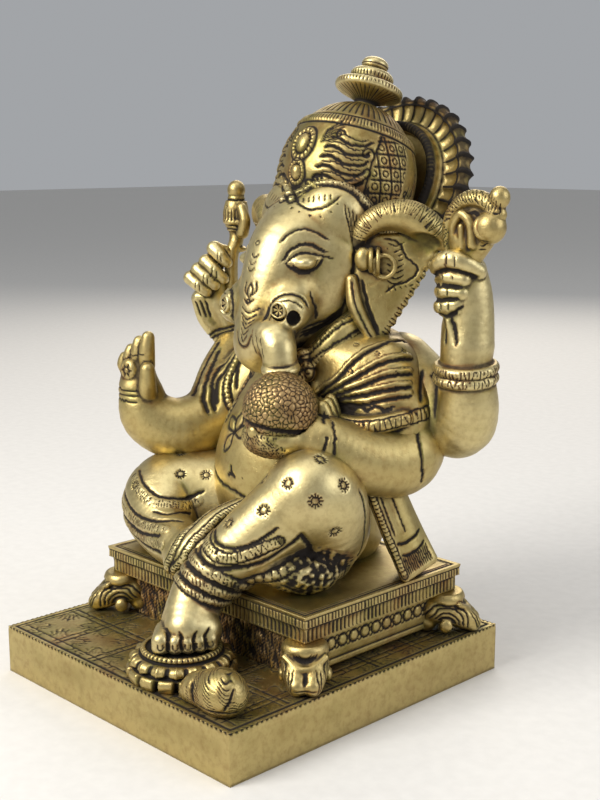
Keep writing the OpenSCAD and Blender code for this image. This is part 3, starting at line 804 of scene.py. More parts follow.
def head():
    """Skull, cheeks and trunk as round bars that melt into each other; a bulge at each temple
    under a twisted band; sockets round the cut tusks; eyes, brows and marks chased in."""
    clay = Clay((-37, -17, 80), (37, 78, 175), 0.68)
    clay.limb(SKULL, 0).limb(CHEEKS, 5).limb(TRUNK, 8).limb(TRUNK_TIP, 4)
    for side in (1, -1):
        clay.ball((side * 9, 40.5, 148.5), 20, 2)
        clay.limb([[side * 12, 13, 117, 9], [side * 15, 7, 112, 9]], 4)
        clay.ball((side * 17.5, 5.5, 111.5), (6.6, 7, 6.6), 3)
        clay.ball((side * 21.8, 2.6, 110), (2.6, 3.2, 3.4), 0.6, cut=True)
        clay.ball((side * 17.4, -1.6, 112), (3.9, 2.4, 3.9), 0.5, cut=True)
        clay.ball((side * 17.5, 13.8, 131.6), (4.4, 4.7, 2.8), 2.5)
    clay.ring((22, -5, 89.6), (0.1, -0.2, 1), 6.2, 2.0, 1.2)
    clay.ball(BOWL, HOLLOW_RADIUS, 0.5, cut=True)
    piece = clay.skin().smooth(2)
    for side in (1, -1):
        def at(*path):
            """A path on this side of the face."""
            return mirrored(path, side)
        # brow, eyelid, eye and the line under it
        piece.groove(at([9, 7, 140], [12, 10, 144.5], [16, 16, 146], [22, 23, 141]), 0.65, 0.5)
        piece.groove(at([11.5, 6, 132.5], [14, 10, 138], [18, 15, 139.5], [23, 21, 136]), 0.95, 0.75)
        piece.groove(at([12.5, 7, 131.5], [15, 11, 135], [18.5, 15, 135.8], [24.5, 23, 133.5]), 0.6, 0.5)
        piece.groove(at([12.5, 7, 131], [14.5, 10, 129], [17.5, 13.5, 128.5], [21, 18, 130.5],
                        [21.5, 20, 133.5]), 0.7, 0.6)
        piece.groove(at([14, 9, 131], [16.5, 12, 130.2], [19, 15, 130.8], [20.5, 18, 132.6]), 0.45, 0.3,
                     0.7)
        band = at([-3, 19.5, 158], [3, 22, 163], [9, 25, 166], [16, 30, 165], [22, 36, 160], [27, 41, 153],
                  [29, 45, 147])
        piece.band(band, 1.5, 1.4, 1.5, 0.4, slant=0.7)
        piece.groove(at([4, 20, 158.5], [8, 20.5, 154], [13, 22.5, 152.5], [18, 27, 154], [21, 31, 158]),
                     0.6, 0.45)
        for k in range(7):
            piece.groove(at([6 + 2 * k, 20 + 1.4 * k, 158.5], [6.8 + 2 * k, 19.6 + 1.4 * k, 156]), 0.4, 0.3,
                         0.7)
            a = math.pi * (k + 0.5) / 7
            c, s = math.cos(a), math.sin(a)
            piece.stamp(at([12 - 9.5 * c, 24 - 5 * c - 1.5 * s, 156.5 - 7.5 * s])[0], 0.8, 3, 0.5)
        for k in range(6):
            piece.groove(at([22.5 + 0.7 * k, 31 + 1.3 * k, 155 - 1.4 * k],
                            [25.5 + 0.5 * k, 31 + 1.2 * k, 147 - k],
                            [27.5 + 0.3 * k, 32 + k, 139 - k]), 0.5, 0.4, 0.85)
        piece.groove(at([28.5, 33, 140], [28, 32, 129], [26, 31, 119], [23, 29, 110], [19, 23, 104],
                        [15, 16, 100]), 1.0, 0.8)
        piece.groove(at([13, -4, 105], [11.5, -3, 112], [13.5, -1, 118], [18, 2, 120.5], [23, 7, 119],
                        [25, 10, 114]), 0.9, 0.9)
        piece.groove(at([15, -4, 107], [14.5, -4, 112], [17, -2, 116.5], [21, 1, 117.5], [25, 6, 114]), 0.5,
                     0.4, 0.8)
        piece.groove(at([25, 13, 121], [23, 14, 117], [24, 17, 112], [22, 18, 107]), 0.7, 0.6, 0.9)
        for k in range(3):
            piece.groove(at([17, 14, 103 - 2 * k], [21, 22, 106 - 2 * k], [25, 30, 112 - 2 * k]), 0.7, 0.5,
                         0.9)
    # marks down the trunk
    spot = [[math.cos(a) * 1.1, math.sin(a) * 1.1] for a in np.arange(0, 6.6, 0.6)]
    piece.draw((-1.5, 2.5, 140), [spot], width=0.4, depth=0.3)
    for k, z in enumerate((134.8, 131.6, 128.6)):
        piece.draw((-1.0, 0.5 - 0.6 * k, z), [[[-1.9, 0.7], [-0.9, -0.5], [0.9, -0.5], [1.9, 0.7]]],
                   width=0.45, depth=0.4)
    bud = [[[0, 6], [-1.6, 3], [0, 0], [1.6, 3], [0, 6]], [[-1.4, 1], [-3.4, 3], [-3, 6.4]],
           [[1.4, 1], [3.4, 3], [3, 6.4]], [[-2.6, -1], [0, -2.4], [2.6, -1]],
           [[0, -0.6], [-1, -1.7], [0, -2.8], [1, -1.7], [0, -0.6]]]
    piece.draw((1, -3, 117), bud, width=0.5, depth=0.45)
    for k in range(6):
        z = 111.5 - 2.3 * k
        wide = 4.6 - 0.45 * k
        fold = [[-wide, 1.6], [-wide * 0.4, -0.2], [0, -0.8], [wide * 0.4, -0.2], [wide, 1.6]]
        piece.draw((2.0 + 0.3 * k, -4.5 - 0.5 * k, z), [fold], width=0.45, depth=0.35, dark=0.8)
    piece.draw((3.5, -7.5, 99), [[[-6, 3.5], [-4, 0], [0, -2.2], [4, -1], [6.5, 3]]], width=0.6, depth=0.5)
    for k in range(3):
        piece.groove([[9 + 3 * k, -9.5 - k, 106 - k], [11 + 3 * k, -10.5 - k, 100],
                      [12 + 3 * k, -10 - k, 94]], 0.4, 0.15, 0.3)
    cast(piece, "head_and_trunk", "polished_brass", "head")


def ear(side, name, node):
    """A broad leaf of metal with a nicked edge, a double-ridged lobe by the cheek, the rim rolled
    over at the top, a leaf scroll chased inside and a barrel earring."""
    s = side
    clay = Clay((min(s * 20, s * 63), 22, 92), (max(s * 20, s * 63), 73, 163), 0.5)
    sheet = np.array([[s * 27, 37, 140, 3], [s * 53.5, 60, 142, 2.4], [s * 30, 34, 116, 2.6],
                      [s * 39, 37, 99, 2]])
    for corners in (sheet[[0, 1, 2]], sheet[[1, 2, 3]]):
        for t in np.linspace(0, 1, 12):
            one = corners[0] + (corners[2] - corners[0]) * t
            two = corners[1] + (corners[2] - corners[1]) * t
            clay.limb([one, two], 0.6, smooth=False)
    clay.limb([[s * 27, 35, 139, 3], [s * 30, 37, 146, 4.8], [s * 36, 42, 150.5, 6],
               [s * 43, 48, 150.5, 7.2], [s * 49, 53.5, 146.5, 7], [s * 55, 58.5, 140, 4.4]], 1.0)
    clay.ball((s * 51, 48, 138), (9, 5, 6), 1.0, cut=True, turn=s * 0.8)
    clay.limb([[s * 28, 30.5, 124, 2.6], [s * 31.5, 30, 112, 3.3], [s * 39, 34, 97.5, 2.2]], 0.8)
    clay.ball((s * 32, 33.4, 133), (3.6, 3.4, 5), 0.4, turn=s * 0.8)
    clay.ring((s * 34.6, 35.4, 132.6), (s * 0.72, 0.66, 0), 4.4, 1.0, 0.3)
    clay.ring((s * 37.0, 37.2, 132), (s * 0.72, 0.66, 0), 5.2, 0.9, 0.3)
    clay.ring((s * 39.2, 38.6, 130), (s * 0.5, -0.8, 0.1), 4.6, 1.1, 0.3)
    piece = clay.skin().smooth(1)
    rim = mirrored([[27, 32, 142], [31, 34, 149], [37, 39, 155], [44, 45, 156], [51, 50, 152],
                    [57, 56, 144]], s)
    piece.band(rim, 5.5, 0, 1.15, 0.2, lines=False)
    leaf = mirrored([[38, 40, 142], [43, 43.5, 140], [45, 46, 134], [49, 49, 129], [46, 46.5, 124],
                     [42, 42.5, 122], [39, 40, 119]], s)
    piece.groove(leaf, 0.6, 0.5)
    for k in range(8):
        z = 140 - 2.3 * k
        piece.groove(mirrored([[39.5, 40.5, z], [42, 42.5, z - 1.4], [44.5, 45, z + 0.2]], s), 0.4, 0.35,
                     0.85)
    for k in range(5):
        x = 40 + 1.8 * k
        piece.groove(mirrored([[x, 40.5 + 1.5 * k, 122], [x + 0.8, 41 + 1.5 * k, 119 + 0.8 * k]], s), 0.4,
                     0.35, 0.8)
    edge = mirrored([[55, 60, 139], [50.5, 54, 129], [45.5, 45, 114], [40.5, 37.5, 101]], s)
    piece.band(edge, 1.9, 0, 1.8, 0.4, lines=False)
    piece.groove(mirrored([[30, 28.5, 124], [33.5, 28, 113], [40, 32, 98.5]], s), 0.6, 0.6)
    piece.groove(mirrored([[32, 33, 124], [35.5, 33.5, 113], [39, 35.5, 103]], s), 0.7, 0.6)
    for k in range(5):
        piece.groove(mirrored([[52 - 4 * k, 61 - 4.4 * k, 136 - 3 * k],
                               [46 - 2.4 * k, 56 - 3 * k, 122 - 2 * k]], s), 0.6, 0.3, 0.5)
    cast(piece, name, "satin_brass", node)


def left_rear_arm():
    """Upper arm, elbow and forearm, a double ring bracelet, and a fist closed round a staff."""
    clay = Clay((30, 30, 40), (96, 76, 144), 0.66)
    clay.limb(LEFT_REAR, 2)
    clay.ball((73.5, 50.5, 119), (9, 9.5, 15), 3)
    clay.limb([[76, 51, 100, 10], [76, 52, 116, 8.5], [76, 51, 130, 6]], 3)
    for level in (86.0, 90.3):
        clay.ring((75, 50, level), (0.05, -0.12, 1), 11.6, 2.2, 0.4)
    fingers = ([[64.5, 47, 129, 3.4], [66.5, 41.2, 131.4, 3.8], [72, 40.6, 134.6, 4.2],
                [77.6, 43.6, 133.6, 4.2], [80.6, 49, 130, 3.6]],
               [[66, 44, 126, 3.0], [71, 41.6, 127.6, 3.2], [77.4, 44, 126.8, 3.2]],
               [[65.6, 45, 121, 3.4], [70, 41.6, 121.8, 3.6], [76.6, 43.6, 121.4, 3.4]],
               [[65.6, 45.6, 115, 3.6], [69, 42, 115.4, 4], [74.6, 43, 116.4, 3.8]])
    for finger in fingers:
        clay.limb(finger, 0.7)
    clay.limb([[71.8, 42.6, 112, 2.8], [74, 43, 102, 3.0]], 0.5)
    piece = clay.skin().smooth(1)
    for level in (86.0, 90.3):
        piece.band(loop((75, 50, level), (0.05, -0.12, 1), 13.5), 1.7, 0, 1.7, 0.35, lines=False)
    for path in ([[63.5, 44, 128], [69, 38, 129.6], [77, 40, 130.4], [82, 47, 128.4]],
                 [[63, 43, 123.6], [69, 38, 124.6], [79, 41, 124]],
                 [[63, 43, 118], [68, 38, 118.6], [77.6, 40, 119]],
                 [[63, 44, 111.4], [69, 38.4, 111], [75, 40, 112.6], [79, 41.6, 116.4]]):
        piece.groove(path, 0.9, 0.7)
    for x, low, high in ((66, 113, 117), (70, 113, 118), (74, 114, 118), (68, 120, 123), (73.5, 120, 123.6),
                         (70, 126, 129),
                         (75.6, 126, 129), (73, 132, 138), (77, 131.4, 137)):
        piece.groove([[x, 38, low], [x + 0.6, 37.4, (low + high) / 2], [x, 38, high]], 0.4, 0.35, 0.8)
    piece.groove([[70, 39.6, 110.6], [71, 40, 105], [72, 41, 100]], 0.9, 0.8)
    piece.groove([[74.6, 40, 111], [76.6, 41, 105], [77, 42, 100]], 0.9, 0.8)
    piece.groove([[58, 43, 88], [59, 39, 80], [61, 36, 73]], 0.9, 0.5)
    cast(piece, "left_rear_arm_casting", "polished_brass", "left_rear_arm")


def noose():
    """The coiled noose in the left rear hand: round cords in nested loops on a flat core."""
    clay = Clay((60, 34, 126), (103, 62, 169), 0.5)
    clay.limb([[72, 49, 130, 5.5], [75, 49, 142, 8]], 1)
    clay.ball((79, 49, 148), (11, 6, 10), 2)
    clay.limb([[67.5, 47, 138, 2.6], [67, 47, 147, 3], [70, 47, 154, 3.4], [77, 47, 158.5, 3.8],
               [85, 47, 158, 3.6], [91, 48, 153, 3.2]], 0.3)
    clay.limb([[73.5, 43.5, 140, 1.9], [72.5, 43, 148, 2], [76.5, 42.6, 153, 2], [81, 43, 149, 2],
               [81.5, 43.5, 141, 1.9]], 0.3)
    clay.limb([[77, 42.6, 140, 1.3], [77, 42, 148, 1.4]], 0.2)
    clay.ball((87.6, 47, 148), (6.6, 6.4, 6.8), 0.6)
    clay.ring((88, 45, 148), TOWARDS + 0.2 * UP, 4.5, 1.4, 0.3)
    clay.limb([[90.4, 48, 153, 3], [91.2, 48, 156, 2.4]], 0.3)
    clay.ball((91.1, 48, 159.6), (4.2, 4.2, 4.6), 0.4)
    clay.limb([[84, 48, 142, 4], [76, 48, 134, 5]], 1)
    piece = clay.skin().smooth(1)
    piece.band([[66, 44, 139], [64.5, 44, 147], [68, 43.5, 155.5], [76, 43.5, 160], [85, 44, 160],
                [92, 45, 155]],
               3.2, 0, 1.5, 0.35, lines=False, slant=0.5)
    piece.groove([[70.3, 43, 139], [69.6, 43, 147], [73, 42.5, 154], [79, 42.5, 155.6], [85, 43, 153]], 0.7,
                 0.6)
    for z in (139, 142.6, 146, 149.5):
        piece.stamp((70.6, 43, z), 0.6, 3, 0.3)
    for k in range(4):
        piece.groove([[86, 42, 144 - 2 * k], [90, 44, 142.5 - 2 * k]], 0.5, 0.4, 0.8)
    cast(piece, "noose_coil", "antique_brass", "noose")


def right_rear_arm():
    """The arm behind the trunk's side, its fist seen from the knuckles."""
    clay = Clay((-92, 22, 52), (-28, 72, 140), 0.62)
    clay.limb(RIGHT_REAR, 2)
    clay.ball((-74.5, 42, 112), (8, 9, 10.5), 2)
    clay.limb([[-78, 36, 107, 4.6], [-76, 37, 98, 4], [-72, 42, 91, 5.4]], 2)
    fingers = (([-78.7, 30.5, 117.4], [-70.3, 33.4, 111.2]),
               ([-75.6, 32.6, 121.4], [-66.6, 35.6, 114.4]),
               ([-72.4, 35, 125.4], [-63.6, 38.6, 117.4]),
               ([-69, 37.4, 131.6], [-62.6, 40, 125]))
    for k, (start, end) in enumerate(fingers):
        middle = (np.array(start) + end) / 2 + TOWARDS * 1.5
        clay.limb([[*start, 3.4 + 0.3 * (k == 3)], [*middle, 3.1], [*end, 2.6]], 0.5)
        clay.limb([[*start, 3.2], [*(np.array(start) + [2, 5, -2]), 3.6]], 1)
    for k in range(3):
        clay.limb([[-77 + 2.6 * k, 33.4 + 1.4 * k, 108, 2.4], [-74.5 + 1.4 * k, 36.6 + k, 97, 2.2]], 0.8)
    piece = clay.skin().smooth(1)
    for start, end in fingers:
        for t in (0.55, 0.78):
            at = np.array(start) + (np.array(end) - start) * t + TOWARDS * 4
            piece.groove([at + UP * 2.6 - ASIDE * 1.2, at - UP * 2.2 - ASIDE * 2.2], 0.45, 0.35, 0.8)
    for radius, level in ((7, 92), (7, 89.6)):
        piece.groove(loop((-69, 45.4, level), (-0.3, 0, 1), radius), 0.8, 0.6)
    for k in range(3):
        piece.groove([[-76.4 + 2.4 * k, 30.5 + 1.6 * k, 106], [-74.6 + 2 * k, 33 + 1.6 * k, 99]], 0.7, 0.6)
    cast(piece, "right_rear_arm_casting", "polished_brass", "right_rear_arm")


def goad():
    """The goad in the right rear hand: a stout ringed head with a round knob on top."""
    clay = Clay((-82, 34, 86), (-52, 64, 169), 0.5)
    clay.limb([[-66.4, 46.5, 92, 3], [-65.4, 45, 126, 3.2], [-66, 48.5, 134, 3.4], [-66.6, 50.2, 140, 3.6]],
              0.5)
    clay.limb([[-66.6, 50.2, 140, 3.6], [-67.2, 49.8, 146, 6.2], [-67, 49.8, 152, 5.4], [-67, 50, 156, 3]],
              1.5)
    for z, r in ((131, 4.4), (141, 5), (144.2, 6.4)):
        clay.ring((-66.5, 49.6, z), (0.05, 0, 1), r - 1, 1.3, 0.5)
    clay.ball((-67, 50, 159), (4.3, 4.3, 4.7), 0.4)
    clay.limb([[-60.5, 48, 139, 3], [-58.6, 48, 145, 2.6], [-61, 48, 151, 2.2]], 0.8)
    piece = clay.skin().smooth(1)
    piece.groove(loop((-66.6, 50, 140.6), (0.05, 0, 1), 6), 0.7, 0.7)
    piece.groove(loop((-67, 50, 154.6), (0.05, 0, 1), 4.6), 0.7, 0.8)
    for x, z in ((-69.5, 147), (-65.5, 148.5), (-67.5, 151.6)):
        piece.stamp((x, 43.6, z), 1.0, 3, 0.6)
    for k in range(6):
        piece.groove([[-72.4 + 2.1 * k, 43.4 + 0.5 * abs(k - 3), 144],
                      [-72.4 + 2.1 * k, 43 + 0.5 * abs(k - 3), 150]], 0.45, 0.45, 0.8)
    cast(piece, "goad_head", "antique_brass", "goad")


def right_front_arm():
    """The arm with the raised palm: wrist, palm and four fingers side by side, and the thumb;
    a pleated cloth and a string of beads lie over its shoulder."""
    clay = Clay((-84, -28, 34), (-24, 66, 102), 0.7)
    clay.limb(RIGHT_FRONT, 2)
    clay.limb([[-63, 44, 82, 10.5], [-57, 32, 72, 12], [-50, 24, 62, 15]], 3)
    clay.ball((-66, -11.5, 76), (10, 6.5, 11.5), 2.5)
    clay.limb([[-59, -12, 82, 3.8], [-57.3, -13, 89, 3.6], [-57, -12.5, 95, 3]], 0.6)
    clay.limb([[-63.7, -12, 82, 3.6], [-63, -13.6, 88, 3.5], [-62.6, -13, 92.5, 3]], 0.5)
    clay.limb([[-68.7, -12, 80, 3.5], [-68.7, -14, 85, 3.3], [-68.2, -13.5, 88.5, 2.8]], 0.5)
    clay.limb([[-73, -12, 77, 3.2], [-74, -14, 81, 3], [-73.4, -13.5, 84.4, 2.6]], 0.5)
    clay.limb([[-59, -12, 67, 4.4], [-55.5, -14.5, 74, 3.9], [-54.8, -15, 81, 3.3]], 0.8)
    clay.ball((-65.5, -17.5, 80), (5, 2.6, 5), 0.4)
    piece = clay.skin().smooth(1)
    piece.stamp((-65, -20, 80), 3.6, 6, 0.8)
    for z in (66, 68.6, 71):
        piece.groove([[-75, -14, z + 1], [-68, -19, z], [-60, -16.5, z - 0.6]], 0.6, 0.4)
    for x, z in ((-57.5, 88), (-63, 87), (-68.6, 84.5)):
        piece.groove([[x - 2.6, -16.5, z], [x, -17.5, z - 0.6], [x + 2.4, -16, z]], 0.45, 0.3, 0.8)
    # the cloth's folds fall from the shoulder to the elbow's inside, beside the string of beads
    folds = ([[-44, 20, 92], [-43, 15, 82], [-42, 14, 74], [-40, 14, 62]],
             [[-50, 22, 90], [-46, 14, 78], [-43, 13, 69], [-42, 13, 58]],
             [[-57, 28, 88], [-50, 15, 76], [-46, 11, 66], [-45, 11, 56]],
             [[-63, 34, 88], [-57, 20, 76], [-50, 9, 64]],
             [[-67, 40, 86], [-64, 28, 76], [-57, 12, 66]])
    for path in folds:
        piece.groove(path, 1.5, 1.1, 0.8)
    piece.band([[-39, 20, 92], [-38.5, 18, 87], [-38, 18, 79], [-37.5, 18, 70], [-36, 18, 62]], 1.5, 0.8,
               2.2, 0.5, beads=True)
    piece.groove([[-36, 21, 92], [-35, 21, 80], [-34, 21, 70]], 1.0, 0.8)
    cast(piece, "right_front_arm_casting", "satin_brass", "right_front_arm")


def left_front_arm():
    """Upper arm, elbow and forearm across the lap, and the hand that cups the ball of sweets."""
    clay = Clay((6, -32, 34), (76, 66, 102), 0.7)
    clay.limb(LEFT_FRONT, 2)
    clay.ball((27, -12, 63), (15, 14, 9), 2)
    knuckles = [[40.2, 3, 63.5], [38.4, -1.6, 62], [38, 8, 64], [36, 12, 65]]
    for (x, y, z), size in zip(knuckles, (3.3, 2.8, 3.0, 2.8)):
        clay.limb([[x, y, z, size], [x + 0.6, y, z + 6, size], [x - 1, y - 0.8, z + 11.5, size - 0.4]], 0.4)
    clay.limb([[40, -2, 60, 5], [36, -9, 60, 4.4], [31, -17, 63, 3.8], [27, -24, 67, 3]], 1)
    clay.ball(BOWL, HOLLOW_RADIUS, 0.3, cut=True)
    piece = clay.skin().smooth(1)
    centre = np.array([27.0, -12, 66])
    cup = (np.linalg.norm(piece.points - [27, -12, 62], axis=1) < 14.5) & (piece.points @ ASIDE < 14)
    relief, dark = piece.relief.copy(), piece.dark.copy()
    grains(piece, centre, 3.2, 0.5, below=2)
    piece.relief = np.where(cup, piece.relief, relief)
    piece.dark = np.where(cup, np.maximum(piece.dark, 0.3), dark)
    for x, y, z in knuckles[:2]:
        for lift in (0.5, 4, 8):
            piece.groove([[x - 1.4, y - 4.4, z + lift + 0.6], [x + 1, y - 3.4, z + lift],
                          [x + 3.4, y - 1.6, z + lift + 0.6]], 0.45, 0.4)
    piece.groove([[44, -1, 74], [43.5, -2, 68], [44.5, -1.5, 60], [43, -1, 53]], 0.8, 0.6)
    piece.groove([[47.5, 1, 73], [47, -0.5, 66], [48, 0, 58]], 0.8, 0.6)
    piece.groove([[61, 35, 74], [64, 32, 64], [68, 30, 54], [66, 32, 44]], 0.9, 0.6)
    cast(piece, "left_front_arm_casting", "satin_brass", "left_front_arm")


def sweets():
    """The ball of sweets in the left front hand, all small grains."""
    clay = Clay(BOWL - 18, BOWL + 18, 0.45)
    clay.ball(BOWL, BALL_RADIUS, 0)
    piece = clay.skin().smooth(1)
    grains(piece, BOWL, 2.2, 0.55)
    piece.groove(loop(BOWL + [0, 0, -5.5], (0.15, 0.1, 1), 14.6), 1.4, 1.2)
    cast(piece, "ball_of_sweets", "dark_brass", "sweets_bowl")


def left_leg():
    """The hanging leg: a round thigh and shin under cloth that is punched with flowers, hatched
    hems and folds, rope anklets, and the bare foot with its toes."""
    clay = Clay((-6, -74, -18.6), (68, 60, 62), 0.7)
    clay.limb(LEFT_THIGH, 3).limb(LEFT_SHIN, 4)
    clay.limb([[15, -44, 1, 10.5], [16, -49, -5, 11], [20, -55, -10, 9.5]], 2)
    clay.limb([[13, -54, -11, 7], [25, -50, -11, 7]], 3)
    clay.limb([[34, -26, 12, 7], [44, -12, 9, 9], [40, 6, 9, 9]], 3)
    toes = np.array([21.5, -57.5, -12.4])
    for across, size, ahead in ((-9, 4.4, 4.2), (-3.2, 3.5, 5.2), (1.8, 3.3, 4.8), (6.4, 3.2, 3.6),
                                (10.6, 3, 1.8)):
        for drop in (0, 2.2):
            root = toes + ASIDE * across * 0.92 - TOWARDS * 5 - UP * drop
            tip = toes + ASIDE * across + TOWARDS * ahead - UP * (drop + 0.6)
            clay.limb([[*root, size], [*tip, size * 0.9]], 0.3)
    clay.half((0, 0, -17.6), (0, 0, -1))
    piece = clay.skin().smooth(1)
    # the hem hangs round the shin, with the anklets under it
    piece.groove([[18, -33, 30], [20, -38, 26], [26, -42, 23], [33, -41, 23], [40, -35, 26], [46, -29, 32]],
                 0.9, 0.8)
    piece.band([[14, -33, 24], [19, -42, 22], [26, -45, 19.5], [33, -42, 19], [40, -36, 22], [46, -29, 26]],
               2.0, 0.5, 1.5, 0.4)
    piece.groove([[14, -36, 19], [20, -46, 17], [27, -46.5, 15], [34, -42, 15], [41, -33, 17],
                  [48, -25, 24], [50, -21, 30]], 1.1, 1.0)
    piece.groove([[50, -21, 30], [50, -16, 22], [47, -12, 14], [47, -4, 8]], 1.2, 1.1)
    piece.groove([[46, -12, 20], [50, -4, 13], [52, 4, 8], [54, 10, 6]], 0.8, 0.7)
    piece.groove([[58, 0, 44], [59, 6, 33], [57, 10, 22], [53, 13, 10]], 0.8, 0.6)
    for centre, radius, half in (((20, -37.5, 11), 13.5, 1.9), ((17.5, -41, 6.5), 12.5, 1.7),
                                 ((16, -43, 2.6), 12, 1.2)):
        piece.band(loop(centre, (-0.3, -0.35, -0.88), radius), half, 1.1, 1.7, 0.4, slant=0.5)
    piece.band([[31, -38, 8], [36, -31, 10], [41, -24, 11], [44, -16, 12]], 2.0, 0.6, 3.6, 0.5, beads=True)
    for x, y, z in ((47, -24, 49), (56, -19, 43), (40, -31, 38), (26, -37, 31), (57, -9, 30), (58, -8, 47),
                    (35, -20, 44),
                    (50, 4, 44), (52, -12, 57), (38, -8, 57)):
        piece.stamp((x, y, z), 3.2, 12, 0.6)
    # folds below the thigh: rough as cast
    rough = np.clip(1.2 - np.linalg.norm((piece.points - [45, -8, 9]) / [15, 17, 12], axis=1), 0, 1)
    waves = np.random.default_rng(5).normal(0, 1.1, (16, 4))
    lumps = np.clip(np.sin(piece.points @ waves[:, :3].T + 3 * waves[:, 3]).sum(1) / 4, -1, 1)
    piece.relief += 1.1 * rough * lumps
    piece.dark = np.maximum(piece.dark, np.clip(3 * rough, 0, 1) * np.clip(0.7 - 0.7 * lumps, 0, 1))
    # toes: gaps and nails
    for across, ahead in ((-6, 6.5), (-0.7, 7), (4.1, 6.4), (8.5, 5)):
        base = toes + ASIDE * across + TOWARDS * ahead
        piece.groove([base + UP * 3.4 - TOWARDS * 4, base + UP * 1, base - UP * 4], 0.7, 1.0)
    for across, ahead in ((-9, 8), (-3.2, 8.5), (1.8, 8), (6.4, 7), (10.6, 4.8)):
        ring = [[math.cos(a) * 1.2, math.sin(a) * 1.3] for a in np.arange(2.6, 7.2, 0.5)]
        piece.draw(toes + ASIDE * across + TOWARDS * ahead - UP * 1.4, [ring], width=0.4, depth=0.3,
                   dark=0.8)
    cast(piece, "left_leg_casting", "polished_brass", "left_leg")


def right_leg():
    """The folded leg that lies on the seat, its knee to the figure's right, with crescent folds
    of hatched cloth round the knee."""
    clay = Clay((-80, -48, -1.2), (24, 64, 48), 0.6)
    clay.limb(RIGHT_LEG, 4)
    clay.limb([[4, -8, 28, 4.5], [-2, -20, 22, 5.5], [-5, -30, 14, 5.5], [-10, -36, 5, 5]], 5)
    clay.half((0, 0, -0.2), (0, 0, -1))
    piece = clay.skin().smooth(1)
    folds = (([[-56, -18, 33], [-46, -24, 30], [-36, -24, 27], [-30, -16, 26], [-27, -6, 28]], 0.9, 0.7),
             ([[-34, -29, 21], [-26, -27, 21], [-26, -14, 20]], 0.8, 0.6),
             ([[-70, -14, 26], [-62, -22, 25], [-53, -28, 22], [-42, -31.5, 19], [-28, -32, 19],
               [-17, -27, 20]], 1.0, 0.8),
             ([[-68, -20, 17], [-56, -29, 15], [-46, -32, 13.5], [-34, -34.5, 13], [-20, -36, 15]], 1.0,
              0.8),
             ([[-64, -24, 9], [-48, -33, 8], [-32, -36, 8], [-18, -37, 9]], 0.9, 0.7))
    for path, width, depth in folds:
        piece.groove(path, width, depth)
    for path, half in (([[-56, -20, 30], [-46, -26, 27], [-36, -27, 24.5], [-29, -19, 23], [-27, -9, 24]],
                        1.9),
                       ([[-70, -16, 22], [-58, -27, 19], [-47, -32, 17], [-31, -34, 16.5],
                         [-19, -34, 17.5]], 1.7),
                       ([[-66, -22, 12.5], [-52, -32, 11], [-34, -36, 10.5], [-18, -38, 12]], 1.6)):
        piece.band(path, half, 0.25, 1.25, 0.4, lines=False)
    for shift, level in ((0, 0), (-5.5, -1.5)):
        piece.band([[7 + shift, -9, 31 + level], [2 + shift, -20, 26 + level],
                    [-1 + shift, -30, 18 + level],
                    [-3 + shift, -36, 11 + level], [-6 + shift, -41, 4 + level]], 1.5, 0.5, 1.4, 0.4,
                    slant=0.5)
    for x, y, z in ((-35, -13, 38), (-52, -26, 30), (-46, -4, 42), (-62, -14, 34), (-60, 4, 38),
                    (-40, 14, 42), (-66, 2, 28),
                    (-28, -4, 36)):
        piece.stamp((x, y, z), 3.0, 12, 0.55)
    for k in range(4):
        piece.groove([[-72 + 2 * k, 10, 10 + 6 * k], [-62 + 2 * k, 26, 12 + 6 * k],
                      [-46 + 2 * k, 38, 14 + 6 * k]], 0.8, 0.6)
    cast(piece, "right_leg_casting", "polished_brass", "right_leg")


